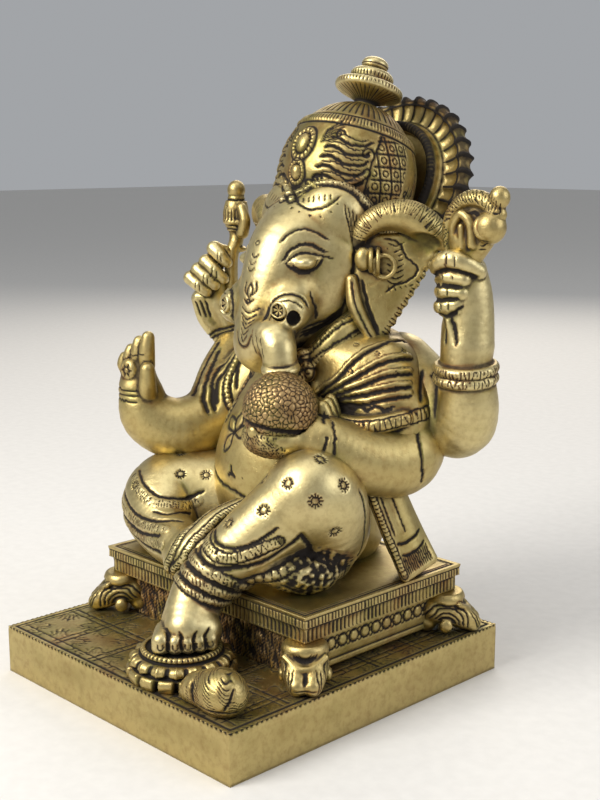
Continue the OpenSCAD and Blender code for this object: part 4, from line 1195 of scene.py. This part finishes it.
def shawl():
    """The cloth over the left shoulder: pleats that fan out from the breast to the arm, a ruffle
    and a segmented border below."""
    clay = Clay((6, 4, 40), (68, 72, 116), 0.64)
    clay.limb([[16, 36, 88, 20], [34, 44, 81, 20.8], [46, 40, 68, 19.8]], 3)
    clay.limb([[26, 22, 80, 9], [36, 26, 80, 11], [46, 33, 78, 13]], 6)
    clay.limb([[30, 24, 72, 8], [44, 28, 70, 11], [48, 34, 66, 16]], 5)
    clay.limb([[22, 22, 92, 6], [34, 28, 90, 9], [44, 36, 90, 10]], 6)
    clay.limb([[26, 18, 68, 3.4], [36, 14.5, 67, 3.6], [46, 15, 66.5, 3.8], [55, 19, 67.5, 4],
               [62, 27, 70, 3.4]], 0.8)
    clay.limb(TORSO, 0.3, cut=True, grow=-2)
    piece = clay.skin().smooth(2)
    pleats = ([[24, 16, 76], [34, 15, 83], [39, 24, 91], [46, 34, 97], [48, 44, 100]],
              [[26, 15, 75.5], [38, 17, 82], [48, 28, 90], [54, 40, 92]],
              [[28, 15, 75], [41, 17, 80], [51, 26, 85], [58, 36, 87]],
              [[30, 15, 74.5], [43, 17, 77.5], [52, 23, 80], [60, 33, 82]],
              [[32, 15, 73.5], [46, 17, 74.5], [55, 23, 77], [62, 31, 79]])
    for path in pleats:
        piece.groove(path, 1.0, 0.9)
        piece.band((np.array(path) + [0.6, 0, 2.2]).tolist(), 0.9, 0.5, 0, lines=False)
    wavy = [[34 + 4 * k, 15 + 0.13 * k * k, 71.6 + 0.55 * k + (0.9 if k % 2 else -0.6)] for k in range(8)]
    piece.groove(wavy, 0.8, 0.7)
    piece.band([[26, 14, 68], [36, 10.5, 67], [46, 11, 66.5], [56, 15.5, 67.5], [64, 25, 70], [68, 38, 72],
                [66, 52, 72],
                [58, 62, 72]], 2.2, 0.2, 2.3, 0.4)
    for x, y, z in ((45, 29, 93), (50, 37, 94), (39, 20, 87), (53, 30, 86), (48, 23, 83), (56, 27, 81),
                    (36, 26, 96)):
        piece.stamp((x, y, z), 1.7, 8, 0.35)
    piece.groove([[56, 46, 92], [60, 40, 84], [63, 35, 76]], 1.0, 0.8)
    for k in range(4):
        piece.groove([[30 + 5 * k, 62, 96 - 2 * k], [40 + 4 * k, 62, 84 - 2 * k],
                      [48 + 3 * k, 58, 72 - 2 * k]], 0.8, 0.7)
    cast(piece, "shoulder_cloth", "antique_brass", "shawl")


def cloth_tail():
    """The end of the waist cloth, which falls behind the left thigh and fans out over the seat's
    edge: straight folds side by side, a beaded front edge and a fringe."""
    clay = Clay((38, 8, -4), (72, 56, 56), 0.56)
    top_front, top_back = np.array([50.0, 17, 44]), np.array([47.0, 34, 46])
    foot_front, foot_back = np.array([63.4, 27.5, 2.4]), np.array([63.6, 44.5, 6.5])

    def on(across, down, out=0.0):
        """A point on the cloth: across from its front edge, down from the waist, out of it."""
        bulge = 2.0 * math.sin(math.pi * down) * np.array([0.7, -0.5, 0.2])
        start = top_front + (top_back - top_front) * across
        end = foot_front + (foot_back - foot_front) * across
        return start + (end - start) * down - bulge + TOWARDS * out
    for across in np.linspace(0, 1, 13):
        clay.limb([[*on(across, 0), 2.6], [*on(across, 0.5), 2.4], [*on(across, 1), 2.4]], 0.6)
    clay.limb([[*on(0, 0, 1), 1.8], [*on(0, 0.5, 1), 1.9], [*on(0, 1, 1), 2]], 0.4)
    clay.limb([[48, 34, 30, 8], [54, 38, 12, 8], [56, 40, 5, 6]], 2)
    clay.half((0, 0, -0.6), (0, 0, -1))
    piece = clay.skin().smooth(1)
    piece.band([on(0, t, 3) for t in (0.05, 0.35, 0.65, 0.97)], 1.3, 0.3, 1.8, 0.4)
    for down in (0.66, 0.78):
        piece.groove([on(a, down + 0.05 * math.sin(3 * a), 2.5) for a in (0.14, 0.4, 0.7, 0.98)], 0.7, 0.6)
    for across in np.linspace(0.14, 0.98, 13):
        piece.groove([on(across, 0.82, 2.5), on(across, 0.9, 2.5), on(across, 0.985, 2.5)], 0.5, 0.45)
    piece.groove([on(0.24, 0.05, 2.5), on(0.22, 0.35, 2.5), on(0.2, 0.6, 2.5)], 0.6, 0.5)
    piece.groove([on(0.62, 0.1, 2.5), on(0.6, 0.4, 2.5), on(0.56, 0.62, 2.5)], 0.5, 0.3, 0.7)
    cast(piece, "waist_cloth_end", "satin_brass", "cloth_tail")


def mouse():
    """The mouse at the footrest: an egg of a body with combed fur, and a small head."""
    clay = Clay((36, -82, -30.6), (74, -56, -8), 0.45)
    c = np.array([53.0, -69, -29.7])
    clay.ball(c + [4, 1, 7.5], (10.5, 9, 9.4), 2)
    clay.limb([[*(c + [2, 1, 7.4]), 8.9], [*(c + [-8, -1, 6.5]), 6.6], [*(c + [-12, -3, 4.5]), 3.6]], 2)
    clay.half((0, 0, -29.75), (0, 0, -1))
    piece = clay.skin().smooth(1)
    x, y, z = (piece.points - c).T
    comb = wave(z * 1.0 + 0.55 * x + 0.5 * np.sin(y * 0.9 + x * 0.5), 1.25,
                2) * np.clip(0.5 + np.sin(x * 0.9 + z * 0.4), 0.2, 1)
    engrave(piece, comb * (x > -8), 0.32, 0.6)
    piece.groove(c + np.array([[-4, -8, 3], [-4.5, -8, 8], [-5, -6, 11]]), 1.1, 1.2)
    piece.groove(c + np.array([[12, -6, 4], [13, -4, 8], [12, -1, 12]]), 0.7, 0.7)
    piece.groove(c + np.array([[-3, -11, 1.8], [5, -11, 1.8], [13, -7, 1.8], [16, 0, 1.8]]), 0.6, 0.5)
    cast(piece, "mouse_casting", "antique_brass", "mouse")


for side, place in ((1, "left"), (-1, "right")):
    ear(side, place + "_ear_leaf", place + "_ear")
for make in (torso, head, left_rear_arm, noose, right_rear_arm, goad, right_front_arm,
             left_front_arm, sweets, left_leg, right_leg, shawl, cloth_tail, mouse):
    make()


# ---------------------------------------------------------------- plinth, stool and footrest
def plinth():
    """The plain base: hollow below with two ribs, its top engraved with square tiles, a dark line
    inside its edge, and slanted nicks cut along its upper edge."""
    low, high = (np.array(corner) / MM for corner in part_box("plinth"))
    wall, ceiling, rib = 5.0, 16.0, 5.0
    half = (high - low)[:2] / 2
    down = [[0, 0], [0.15, -0.15], [0.25, -0.6]] + [[0.25, -z] for z in np.arange(1.4, high[2], 1.4)]
    profile = down + [[0.25, -high[2]], [wall, -high[2]], [wall, ceiling - high[2]]]
    centre = np.array([0, 0, high[2]])
    piece = moulded(centre, *half, profile, 0.66)
    x, y, z = piece.points.T
    inward = np.minimum(half[0] - abs(x), half[1] - abs(y))
    on_top = z > high[2] - 0.01
    along = np.where(half[0] - abs(x) < half[1] - abs(y), y * np.sign(x), -x * np.sign(y))
    nicks = wave(along + 0.9 * inward, 2.5, 1.6) * np.clip(1.6 - inward, 0, 1) * (z > high[2] - 1.2)
    engrave(piece, nicks, 0.45, 0.25)
    engrave(piece, line_at(inward - 2.9, 0.55) * on_top, 0.5)
    # tiles: double lines along and across, and a fan of leaf strokes in each corner
    tile, field = 27.0, on_top * np.clip(inward - 3.6, 0, 1)
    u, v = ((x + 4) / tile) % 1 - 0.5, ((y + 6) / tile) % 1 - 0.5
    lines = sum(line_at(abs(a) * tile - 1.6, 0.45) for a in (u, v))
    radius, angle = np.hypot(u, v) * tile, np.arctan2(v, u)
    corner = abs(np.abs(angle) % (np.pi / 2) - np.pi / 4)
    leaves = wave(angle * 180 / np.pi, 11.25, 2.2) * np.clip((radius - 4.5) / 2, 0, 1)
    leaves *= np.clip((15.5 - radius - 6 * corner) / 1.5, 0, 1)
    scroll = line_at(radius - 10 - 2.2 * np.cos(8 * angle), 0.5)
    engrave(piece, np.clip(lines, 0, 1) * field, 0.4, 0.85)
    engrave(piece, leaves * field * (0.5 + 0.5 * np.sin(x * 0.31) * np.sin(y * 0.27)), 0.3, 0.5)
    engrave(piece, scroll * field, 0.28, 0.55)
    piece.dark = np.maximum(piece.dark, 0.16 * on_top)
    cast(piece, "plinth_casting", "satin_brass", "plinth", origin=0)
    for name, sizes in (("plinth_rib_across", (half[0] - wall, rib / 2)),
                        ("plinth_rib_along", (rib / 2, half[1] - wall))):
        bar = block([-sizes[0], -sizes[1], 0.2], [*sizes, ceiling + 0.2], 2.5)
        cast(bar, name, "satin_brass", origin=0)


def seat():
    """The stool's top: a bead row and short hatching on the upper tier, long flutes on the lower,
    and a border line engraved near the edge of the top."""
    low, high = SEAT_LOW, SEAT_HIGH
    half = (high - low)[:2] / 2
    middle = (low + high) / 2
    deep = high[2] - low[2]
    tier, step_in = 5.2, 1.6
    profile = [[0, 0], [0.05, -0.3], [0.1, -0.7], [0.1, -1.1]]
    profile += [[0.1, -z] for z in np.arange(1.5, tier - 0.3, 0.42)]
    profile += [[0.3, -tier], [1.0, -tier - 0.15], [step_in, -tier - 0.4]]
    profile += [[step_in, -z] for z in np.arange(tier + 0.8, deep - 0.2, 0.45)] + [[step_in + 0.2, -deep]]
    piece = moulded(np.array([middle[0], middle[1], high[2]]), *half, profile, 0.58)
    x, y, z = (piece.points - [middle[0], middle[1], high[2]]).T
    inward = np.minimum(half[0] - abs(x), half[1] - abs(y))
    along = np.where(half[0] - abs(x) < half[1] - abs(y), y, x)
    top = z > -0.01
    engrave(piece, line_at(inward - 2.6, 0.5) * top, 0.4)
    engrave(piece, line_at(inward - 3.9, 0.35) * top, 0.25, 0.7)
    side = ~top
    engrave(piece, line_at(z + 1.5, 0.3) * side, 0.35)
    engrave(piece, wave(along, 1.9, 2.6) * side * (z < -1.7) * (z > -tier + 0.5), 0.45, 0.9)
    engrave(piece, line_at(z + tier + 0.1, 0.45) * side, 0.3)
    lower = side * np.clip((-tier - 1.0 - z) / 0.4, 0, 1) * np.clip((z + deep - 0.6) / 0.4, 0, 1)
    engrave(piece, wave(along + 0.4, 2.3, 2.2) * lower, 0.75, 1.0)
    piece.dark = np.maximum(piece.dark, 0.1 * side)
    cast(piece, "seat_slab", "satin_brass", "seat", origin=0)


def apron(node, name):
    """A side of the stool: a row of punched circles with a small curl between each two."""
    low, high = (np.array(corner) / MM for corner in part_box(node))
    piece = block(low, high, 0.5)
    size = high - low
    middle = (low + high) / 2
    x, y, z = (piece.points - middle).T
    wide = size[0] > size[1]
    along, out, thick = (x, y, size[1] / 2) if wide else (y, x, size[0] / 2)
    facing = np.sign((middle - (SEAT_LOW + SEAT_HIGH) / 2)[1 if wide else 0])
    span = size[0] if wide else size[1]
    face = (out * facing > thick - 0.01) * np.clip((span / 2 - abs(along)) / 0.5, 0, 1)
    if node == "apron_front":
        ripples = np.random.default_rng(3).normal(0, 1.5, (14, 3))
        lumps = sum(np.sin(along * a + z * b + c) for a, b, c in ripples) / 4
        piece.relief += 0.6 * np.clip(lumps, -1, 1) * face
        piece.dark = np.maximum(piece.dark, face * np.clip(0.45 - 0.5 * lumps, 0, 1))
        cast(piece, name, "dark_brass", node, origin=0)
        return
    pitch, radius, level = 6.7, 2.6, 1.5
    u = (along + pitch / 2) % pitch - pitch / 2
    rim = line_at(np.hypot(u, z - level) - radius, 0.45)
    disc = np.clip(radius - np.hypot(u, z - level), 0, 1)
    between = abs(u) - pitch / 2
    curl = sum(line_at(np.hypot(between, z - level - lift) - 1.1, 0.35) for lift in (1.6, -1.6))
    ledge = line_at(z + size[2] / 2 - 2.6, 0.4)
    piece.relief += 0.35 * disc * face
    engrave(piece, rim * face, 0.55)
    engrave(piece, np.clip(curl, 0, 1) * face, 0.35, 0.8)
    engrave(piece, ledge * face, 0.5)
    piece.dark = np.maximum(piece.dark, 0.12 * face)
    cast(piece, name, "satin_brass", node, origin=0)


def paw_foot(node, name, side_x, side_y):
    """A paw foot that points out of the stool's corner: an arched cap with nested crescents over
    a round toe, and a knob with ridges round it on each flank."""
    tall = SEAT_LOW[2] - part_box("plinth")[1][2] / MM
    clay = Clay((-20, -13, -1), (14, 13, tall + 1.4), 0.5)
    for v in (-3.4, 3.4):
        clay.limb([[-9, v, 10, 6], [-2, v, 9.5, 6.2], [4, v, 6.5, 5.2], [8.2, v * 0.9, 4, 3.9]], 2)
    clay.limb([[-12, -3, 5, 5], [-12, 3, 5, 5]], 1)
    clay.ball((-3.5, 0, tall - 3), (8.5, 9.5, 5.5), 1.2)
    clay.limb([[2, -8, tall - 4.5, 1.3], [5.4, -3.5, tall - 7.6, 1.5], [6.2, 0, tall - 8.2, 1.6],
               [5.4, 3.5, tall - 7.6, 1.5], [2, 8, tall - 4.5, 1.3]], 0.5)
    for v in (-9.2, 9.2):
        clay.ball((-4, v, 4.2), (3, 1.7, 3), 0.6)
    clay.half((0, 0, 0.02), (0, 0, -1)).half((0, 0, tall - 0.02), (0, 0, 1))
    piece = clay.skin().smooth(1)
    for flank in (-1, 1):
        for k, radius in enumerate((4.2, 6, 7.8, 9.6)):
            arc = [[-4 + radius * math.cos(a), flank * (9 - k * 0.8), 4.2 + radius * math.sin(a)]
                   for a in np.radians([150, 110, 70, 30, -5])]
            piece.groove(arc, 0.55, 0.5)
    for k in range(3):
        crescent = [[4.5 - k * 0.6, w,
                     tall - 2.0 - 3.6 * math.cos(w / (5.6 - 1.5 * k) * 1.45) * (1 - 0.22 * k)]
                    for w in np.linspace(-5.2 + 1.5 * k, 5.2 - 1.5 * k, 7)]
        piece.groove(crescent, 0.5, 0.5)
    piece.groove([[8, 0, 8.5], [10, 0, 5]], 0.9, 1.0)
    for v in (-5.5, -4, 4, 5.5):
        piece.groove([[6, v, 9], [9.5, v * 1.1, 4.5], [10, v * 1.1, 2]], 0.45, 0.35, 0.8)
    piece.groove([[12, -5, 3], [12.6, 0, 3.2], [12, 5, 3]], 0.5, 0.3, 0.7)
    turn = math.atan2(side_y, side_x)
    c, s = math.cos(turn), math.sin(turn)
    x, y, z = piece.apply_relief().points.T
    piece.points = np.stack([x * c - y * s, x * s + y * c, z], 1)
    piece.work_out_normals()
    half = (SEAT_HIGH - SEAT_LOW) / 2
    middle = (SEAT_HIGH + SEAT_LOW) / 2
    corner = np.array([middle[0] + side_x * (half[0] - 2), middle[1] + side_y * (half[1] - 2),
                       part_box("plinth")[1][2] / MM])
    cast(piece, name, "antique_brass", node, origin=corner)


def footrest():
    """A lotus: a flat seat with a beaded rim over two rows of sixteen petals."""
    low, high = (np.array(corner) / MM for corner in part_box("lotus_footrest"))
    middle = (low + high) / 2
    r, h = (high[0] - low[0]) / 2, high[2] - low[2]
    profile = [[0.5, 0], [r - 5, 0], [r - 2.5, 0.1], [r - 1.4, 1.2], [r - 0.9, 3.2], [r - 1.8, 5],
               [r - 3.4, 5.6], [r - 2.2, 6.6], [r - 2.8, 8.4], [r - 5, 9.6], [r - 6.4, 9.9],
               [r - 6.0, 11], [r - 6.6, h - 0.3], [r - 8, h - 0.2], [r - 8.8, h - 1.3], [r - 12, h - 1.6],
               [1.2, h - 1.6], [0.5, h - 1.6]]
    piece = turned(profile, 0.5, [middle[0], middle[1], low[2]])
    petals = 16
    gap_low = wave(piece.angle * petals / 2 / np.pi, 1.0, 5)
    gap_high = wave(piece.angle * petals / 2 / np.pi + 0.5, 1.0, 4)
    lower = np.clip((5.3 - piece.height) / 0.8, 0, 1) * (piece.radius > r - 5.5)
    upper = np.clip((piece.height - 5.6) / 0.6, 0, 1) * np.clip((9.8 - piece.height) / 0.8, 0, 1)
    engrave(piece, gap_low * lower, 2.4)
    piece.relief += lower * 0.8 * (1 - gap_low)
    piece.relief += upper * 1.0 * (1 - abs(np.cos(piece.angle * petals / 2 + np.pi / 2)) ** 0.5)
    engrave(piece, gap_high * upper, 1.1)
    engrave(piece, line_at(piece.height - 5.5, 0.45) * (piece.radius > r - 6), 0.5)
    rim = line_at(piece.height - (h - 0.9), 1.0) * (piece.radius > r - 8.6)
    engrave(piece, wave(piece.angle * 48 / 2 / np.pi, 1.0, 2) * rim, 0.5, 0.8)
    engrave(piece, line_at(piece.height - 10.0, 0.4) * (piece.radius > r - 8), 0.3)
    piece.dark = np.maximum(piece.dark, 0.8 * (piece.radius < r - 8.2) * (piece.height > 8))
    cast(piece, "lotus_petals", "antique_brass", "lotus_footrest", origin=0)


# ---------------------------------------------------------------- crown, finial, halo and tusks
CROWN_AT = np.array([0.0, 50, 148])
LEAN = math.radians(20)
CROWN_PROFILE = [[2, -5.8], [24, -5.8], [28.2, -5.0], [29.6, -1], [28.6, 3.6], [29.2, 8], [30.8, 13],
                 [31, 19], [30.4, 26], [28.4, 32], [26.6, 36.2], [22, 42], [17, 46.8], [11, 50.2],
                 [6, 51.6], [1, 52]]


def on_crown(angle, height):
    """A point on the crown from its angle off the front, in degrees towards the left, and its
    height along the crown's own axis."""
    outline = np.array(CROWN_PROFILE[1:])
    radius = np.interp(height, outline[:, 1], outline[:, 0])
    a = math.radians(angle)
    x, y, z = radius * math.sin(a), -radius * math.cos(a), height
    c, s = math.cos(LEAN), math.sin(LEAN)
    return CROWN_AT + [x, y * c + z * s, z * c - y * s]


def crown():
    """The crown: a double rope at its foot, a medallion in front, leaves that sweep back from it,
    a lattice with small rings, and a hatched border round its sloping top."""
    piece = turned(CROWN_PROFILE, 0.55, CROWN_AT, LEAN)
    degrees = np.degrees((piece.angle + np.pi) % (2 * np.pi) - np.pi)
    off, height = abs(degrees), piece.height
    # ropes at the foot
    for level, slant in ((-2.6, 1), (1.6, -1)):
        rope = np.clip(1 - abs(height - level) / 1.9, 0, 1)
        piece.relief += 0.9 * np.sqrt(rope)
        engrave(piece, wave(degrees * 0.52 + slant * (height - level) * 0.8, 2.1, 2) * (rope > 0.1), 0.45,
                0.8)
    engrave(piece, line_at(height + 0.5, 0.4) + line_at(height - 3.9, 0.45), 0.4)
    # sloping top with a hatched border
    border = np.clip((2.0 - abs(height - 37.5)) / 0.6, 0, 1)
    piece.relief += 0.8 * border
    engrave(piece, wave(degrees * 0.46, 1.5, 2) * border, 0.4, 0.7)
    engrave(piece, line_at(height - 34.9, 0.4) + line_at(height - 40.1, 0.4), 0.4)
    engrave(piece, wave(degrees * 0.35, 2.6, 2) * np.clip((height - 41) / 2, 0, 1) * (height < 50), 0.4,
            0.8)
    # lattice
    panel = np.clip((off - 63) / 2, 0, 1) * np.clip((98 - off) / 2, 0, 1) * (height > 5) * (height < 34)
    u, v = (off - 63) * 0.52, height - 5
    one, two = (u * 0.85 + v * 0.35) / 5.2, (v * 0.9 - u * 0.25) / 5.2
    bars = line_at((one % 1 - 0.5) * 5.2, 0.45) + line_at((two % 1 - 0.5) * 5.2, 0.45)
    rings = line_at(np.hypot(((one + 0.5) % 1 - 0.5), ((two + 0.5) % 1 - 0.5)) * 5.2 - 1.2, 0.35)
    engrave(piece, np.clip(bars, 0, 1) * panel, 0.5)
    engrave(piece, np.clip(rings, 0, 1) * panel, 0.3, 0.7)
    piece.apply_relief()
    for side in (1, -1):
        def lay(*places):
            """A path of [angle, height] places on this side of the crown."""
            return [on_crown(side * a, h) for a, h in places]
        # leaves
        for k in range(5):
            rise = 7.5 + 4.4 * k
            stem = lay((16 + 2 * k, rise + 2), (28, rise + 3.4), (40, rise + 1.2), (52, rise + 1.8),
                       (60, rise + 4.6))
            piece.groove(stem, 0.85, 1.0)
            upper = lay((22, rise + 4.6), (34, rise + 5.2), (46, rise + 3.4), (56, rise + 4.8))
            piece.groove(upper, 0.5, 0.45, 0.8)
        for k in range(6):
            piece.groove(lay((17, 25 + 0.9 * k), (24, 26.5 + 1.5 * k), (31 + k, 27.5 + 2.1 * k)), 0.5, 0.5,
                         0.9)
        piece.band(lay((14, 7), (24, 5.5), (38, 6.5), (50, 10), (60, 16)), 1.1, 0.9, 1.6, 0.3, slant=0.6)
        for a, h, r in ((20, 9, 1), (57, 24, 1.2), (30, 30, 0.9), (98, 9, 0.8), (104, 14, 0.7)):
            curl = [[math.cos(t) * (2.6 - t * 0.32), math.sin(t) * (2.6 - t * 0.32)]
                    for t in np.arange(0, 7, 0.5)]
            piece.draw(on_crown(side * a, h), [curl], width=0.6, depth=0.7, size=r)
        for k in range(6):
            a = 100 + 3.4 * k
            piece.groove(lay((a, 7), (a + 5, 12), (a + 7, 18)), 0.5, 0.45, 0.85)
        piece.groove(lay((99, 5), (113, 14), (118, 26), (112, 34)), 0.7, 0.6)
        piece.groove(lay((64, 4.5), (62, 14), (63, 24), (68, 34.5)), 0.7, 0.6)
        for k in range(7):
            piece.groove(lay((122 + 8 * k, 6), (120 + 8 * k, 20), (122 + 8 * k, 33)), 0.6, 0.5, 0.9)
    # front medallion: an oval boss in a ring of petals, with a smaller one below
    for h, size in ((24, 1.0), (11, 0.72)):
        at, x, y = piece.drawing(on_crown(0, h), 9)
        x, y = x / size, y / size
        boss = np.sqrt(np.clip(1 - (x / 3.4)**2 - (y / 4.6)**2, 0, 1))
        reach = np.hypot(x / 0.8, y)
        petals = np.clip(1 - abs(reach - 6.4) / 1.6, 0, 1)
        piece.relief[at] += 1.9 * boss + 1.1 * np.sqrt(petals)
        cuts = petals * wave(np.degrees(np.arctan2(y, x)), 20, 2) + line_at(reach - 4.9, 0.4)
        piece.relief[at] -= 0.6 * np.clip(cuts, 0, 1)
        piece.dark[at] = np.maximum(piece.dark[at], np.clip(cuts + line_at(reach - 8.2, 0.5), 0, 1))
    piece.dark = np.maximum(piece.dark, 0.18)
    cast(piece, "crown_chased", "antique_brass", "crown")


def finial():
    """The finial: a short stem, a broad disc with a fluted rim, a smaller tier and a knob."""
    foot = CROWN_AT + 49 * np.array([0, math.sin(LEAN), math.cos(LEAN)])
    r = 15.4
    profile = [[0.6, 0.6], [5, 0.6], [5.4, 2.6], [5, 4.4], [8, 6.2], [r - 2, 8.4], [r - 0.3, 9.6],
               [r, 11.2],
               [r - 1, 12.6], [11, 13.6], [9.6, 14], [9.4, 15.2], [9.8, 17], [8.4, 18.8], [6, 19.2],
               [5, 19.8],
               [5.9, 21], [6.1, 22.5], [5.2, 24.2], [3, 25.4], [0.6, 25.7]]
    piece = turned(profile, 0.45, foot, LEAN)
    rim = np.clip(1 - abs(piece.height - 11.2) / 1.9, 0, 1) * (piece.radius > 12)
    engrave(piece, wave(piece.angle * 56 / 2 / np.pi, 1, 2) * rim, 0.35, 0.55)
    under = np.clip((9.4 - piece.height) / 1.5, 0, 1) * (piece.radius > 5.6)
    engrave(piece, wave(piece.angle * 40 / 2 / np.pi, 1, 3) * under, 0.25, 0.5)
    collar = np.clip(1 - abs(piece.height - 16.2) / 1.6, 0, 1) * (piece.radius > 8)
    engrave(piece, wave(piece.angle * 36 / 2 / np.pi, 1, 2) * collar, 0.3, 0.6)
    for level in (14.0, 19.5, 21.6):
        engrave(piece, line_at(piece.height - level, 0.3) * (piece.radius < 10.4), 0.2)
    cast(piece, "finial_turned", "polished_brass", "crown_finial")


def halo():
    """The halo: a collar behind the crown, and a thick ring of flutes that end in knobs."""
    centre = np.array([0.0, 88, 161])
    r = 42.0
    profile = [[2, -3], [22, -3], [24.5, -4], [25, -8], [26.4, -9.6], [28.2, -9.4], [29, -7.6], [29.4, -4],
               [31, -2.2], [35, -2.0], [38.5, -2.8], [r - 1.6, -3.4], [r - 0.2, -2], [r, 0], [r - 0.2, 2],
               [r - 1.6, 3.2], [36, 2.6], [28, 2.6], [14, 2.8], [2, 2.8]]
    piece = turned(profile[::-1], 0.66, [0, 0, 0], 0)
    spokes = 34
    # the disc's axis is turned from upright to forwards, then leaned back with the crown
    x, y, z = piece.points.T
    c, s = math.cos(LEAN), math.sin(LEAN)
    piece.points = np.stack([x, z * c - y * s, -y * c - z * s], 1) + centre
    piece.work_out_normals()
    flute = abs(np.cos(piece.angle * spokes / 2))
    zone = np.clip((piece.radius - 29.8) / 2, 0, 1)
    piece.relief += zone * 1.3 * (flute**0.7 - 0.75)
    piece.dark = np.maximum(piece.dark, zone * np.clip(1.0 - flute * 2.0, 0, 1))
    knob = np.clip(1 - abs(piece.radius - r + 0.9) / 2.2, 0, 1)
    piece.relief += 1.0 * knob * (flute - 0.9)
    engrave(piece, line_at(piece.radius - 38.6, 0.5) * (piece.height < 0), 0.7, 0.9)
    engrave(piece, line_at(piece.radius - 30.1, 0.5) * (piece.height < 0), 0.3, 0.9)
    lip = line_at(piece.radius - 27.4, 1.6) * (piece.height < -8)
    engrave(piece, wave(piece.angle * 90 / 2 / np.pi, 1, 2) * lip, 0.15, 0.4)
    cast(piece, "halo_fan", "antique_brass", "halo")


def tusk(side, name, node):
    """A tusk cut off short: a stub with a rounded rim and a dished, darkened end."""
    profile = [[0.5, 0], [3.6, 0], [3.8, 4], [3.9, 7.6], [3.5, 8.6], [2.8, 8.7], [2.2, 8.1], [0.5, 7.8]]
    piece = turned(profile, 0.35, [side * 14.5, 6.5, 112.6], math.radians(-88), math.radians(side * 16))
    inside = np.clip((2.9 - piece.radius) / 0.4, 0, 1) * (piece.height > 7)
    engrave(piece, wave(piece.angle * 6 / 2 / np.pi, 1, 2) * inside, 0.4, 0.6)
    cast(piece, name, "polished_brass", node)


plinth()
seat()
for place in ("front", "back", "left", "right"):
    apron("apron_" + place, place + "_apron_panel")
for place, sx, sy in (("front_left", 1, -1), ("front_right", -1, -1), ("back_left", 1, 1),
                      ("back_right", -1, 1)):
    paw_foot("foot_" + place, place + "_paw", sx, sy)
for make in (footrest, crown, finial, halo):
    make()
for side, place in ((1, "left"), (-1, "right")):
    tusk(side, place + "_tusk_stub", place + "_tusk")


# ---------------------------------------------------------------- pouring and the CAD pieces
crowd = crowding()
for work in WORKS:
    pour(crowd, *work)
for subpart in frame["record"]["subparts"]:
    part = frame["nodes"][subpart["node"]]
    part.data.materials.clear()
    slot = subpart["material_slot"]
    part.data.materials.append(STEEL if slot == "steel" else FINISH[slot])


# ---------------------------------------------------------------- floor, lights and camera
def flat_floor():
    """A large pale square under the statue, with its half side in metres."""
    half = 6
    mesh = bpy.data.meshes.new("floor")
    mesh.from_pydata([(-half, -half, 0), (half, -half, 0), (half, half, 0), (-half, half, 0)], [],
                     [(0, 1, 2, 3)])
    floor = bpy.data.objects.new("floor", mesh)
    material = bpy.data.materials.new("pale_matt_paper")
    material.use_nodes = True
    tree = material.node_tree
    shader = tree.nodes["Principled BSDF"]
    shader.inputs["Roughness"].default_value = 0.85
    fibre = add(tree, "ShaderNodeTexNoise", {"Scale": per_metre(6)},
                Vector=add(tree, "ShaderNodeTexCoord").outputs["Object"])
    tree.links.new(shader.inputs["Base Color"],
                   ramp(tree, fibre.outputs["Fac"], {0.3: "#D6D3CE", 0.7: "#DBD8D3"}))
    mesh.materials.append(material)
    bpy.context.scene.collection.objects.link(floor)


def from_compass(azimuth, elevation):
    """The way out to a place that is azimuth degrees round from the front and elevation up."""
    a, e = math.radians(azimuth), math.radians(elevation)
    return Vector((math.sin(a) * math.cos(e), -math.cos(a) * math.cos(e), math.sin(e)))


def soft_light(name, azimuth, elevation, distance, size, power, colour):
    """A square softbox that looks at the figure's middle from a compass direction."""
    light = bpy.data.lights.new(name, "AREA")
    light.size = size
    light.energy = power
    light.color = linear(colour)[:3]
    lamp = bpy.data.objects.new(name, light)
    back = from_compass(azimuth, elevation)
    lamp.location = FIGURE_MIDDLE + back * distance
    lamp.rotation_euler = back.to_track_quat("Z", "Y").to_euler()
    bpy.context.scene.collection.objects.link(lamp)


# angles in degrees, distances and places in metres, the lens and the sensor in millimetres
FIGURE_MIDDLE = Vector((0, 0, 0.13))
CAMERA_AZIMUTH = 45.84
CAMERA_ELEVATION = 11.13
CAMERA_DISTANCE = 0.5482
CAMERA_AIM = Vector((0.01473, 0.01517, 0.12307))
LENS = 57.35
SENSOR_WIDTH = 36
CLIP_NEAR, CLIP_FAR = 0.01, 20
BACKDROP_STRENGTH = 0.62
# name, azimuth, elevation, distance, side of the softbox, watts, colour
LIGHTS = (("window", -12, 38, 1.1, 0.6, 14, "#FFFDF8"),
          ("room", 112, 25, 1.3, 0.8, 5, "#F4F7FF"),
          ("ceiling", 60, 82, 1.2, 0.9, 3.5, "#FFFFFF"),
          ("behind", 215, 30, 1.3, 0.8, 6, "#FFF8EE"))

flat_floor()
for light in LIGHTS:
    soft_light(*light)
world = bpy.data.worlds.new("studio")
bpy.context.scene.world = world
world.use_nodes = True
backdrop = world.node_tree.nodes["Background"]
backdrop.inputs["Color"].default_value = linear("#C9CCD0")
backdrop.inputs["Strength"].default_value = BACKDROP_STRENGTH

bpy.context.scene.view_settings.view_transform = "Standard"
camera = bpy.data.objects.new("camera", bpy.data.cameras.new("camera"))
camera.data.lens = LENS
camera.data.sensor_width = SENSOR_WIDTH
camera.data.clip_start, camera.data.clip_end = CLIP_NEAR, CLIP_FAR
back = from_compass(CAMERA_AZIMUTH, CAMERA_ELEVATION)
camera.location = CAMERA_AIM + back * CAMERA_DISTANCE
camera.rotation_euler = back.to_track_quat("Z", "Y").to_euler()
bpy.context.scene.collection.objects.link(camera)
bpy.context.scene.camera = camera
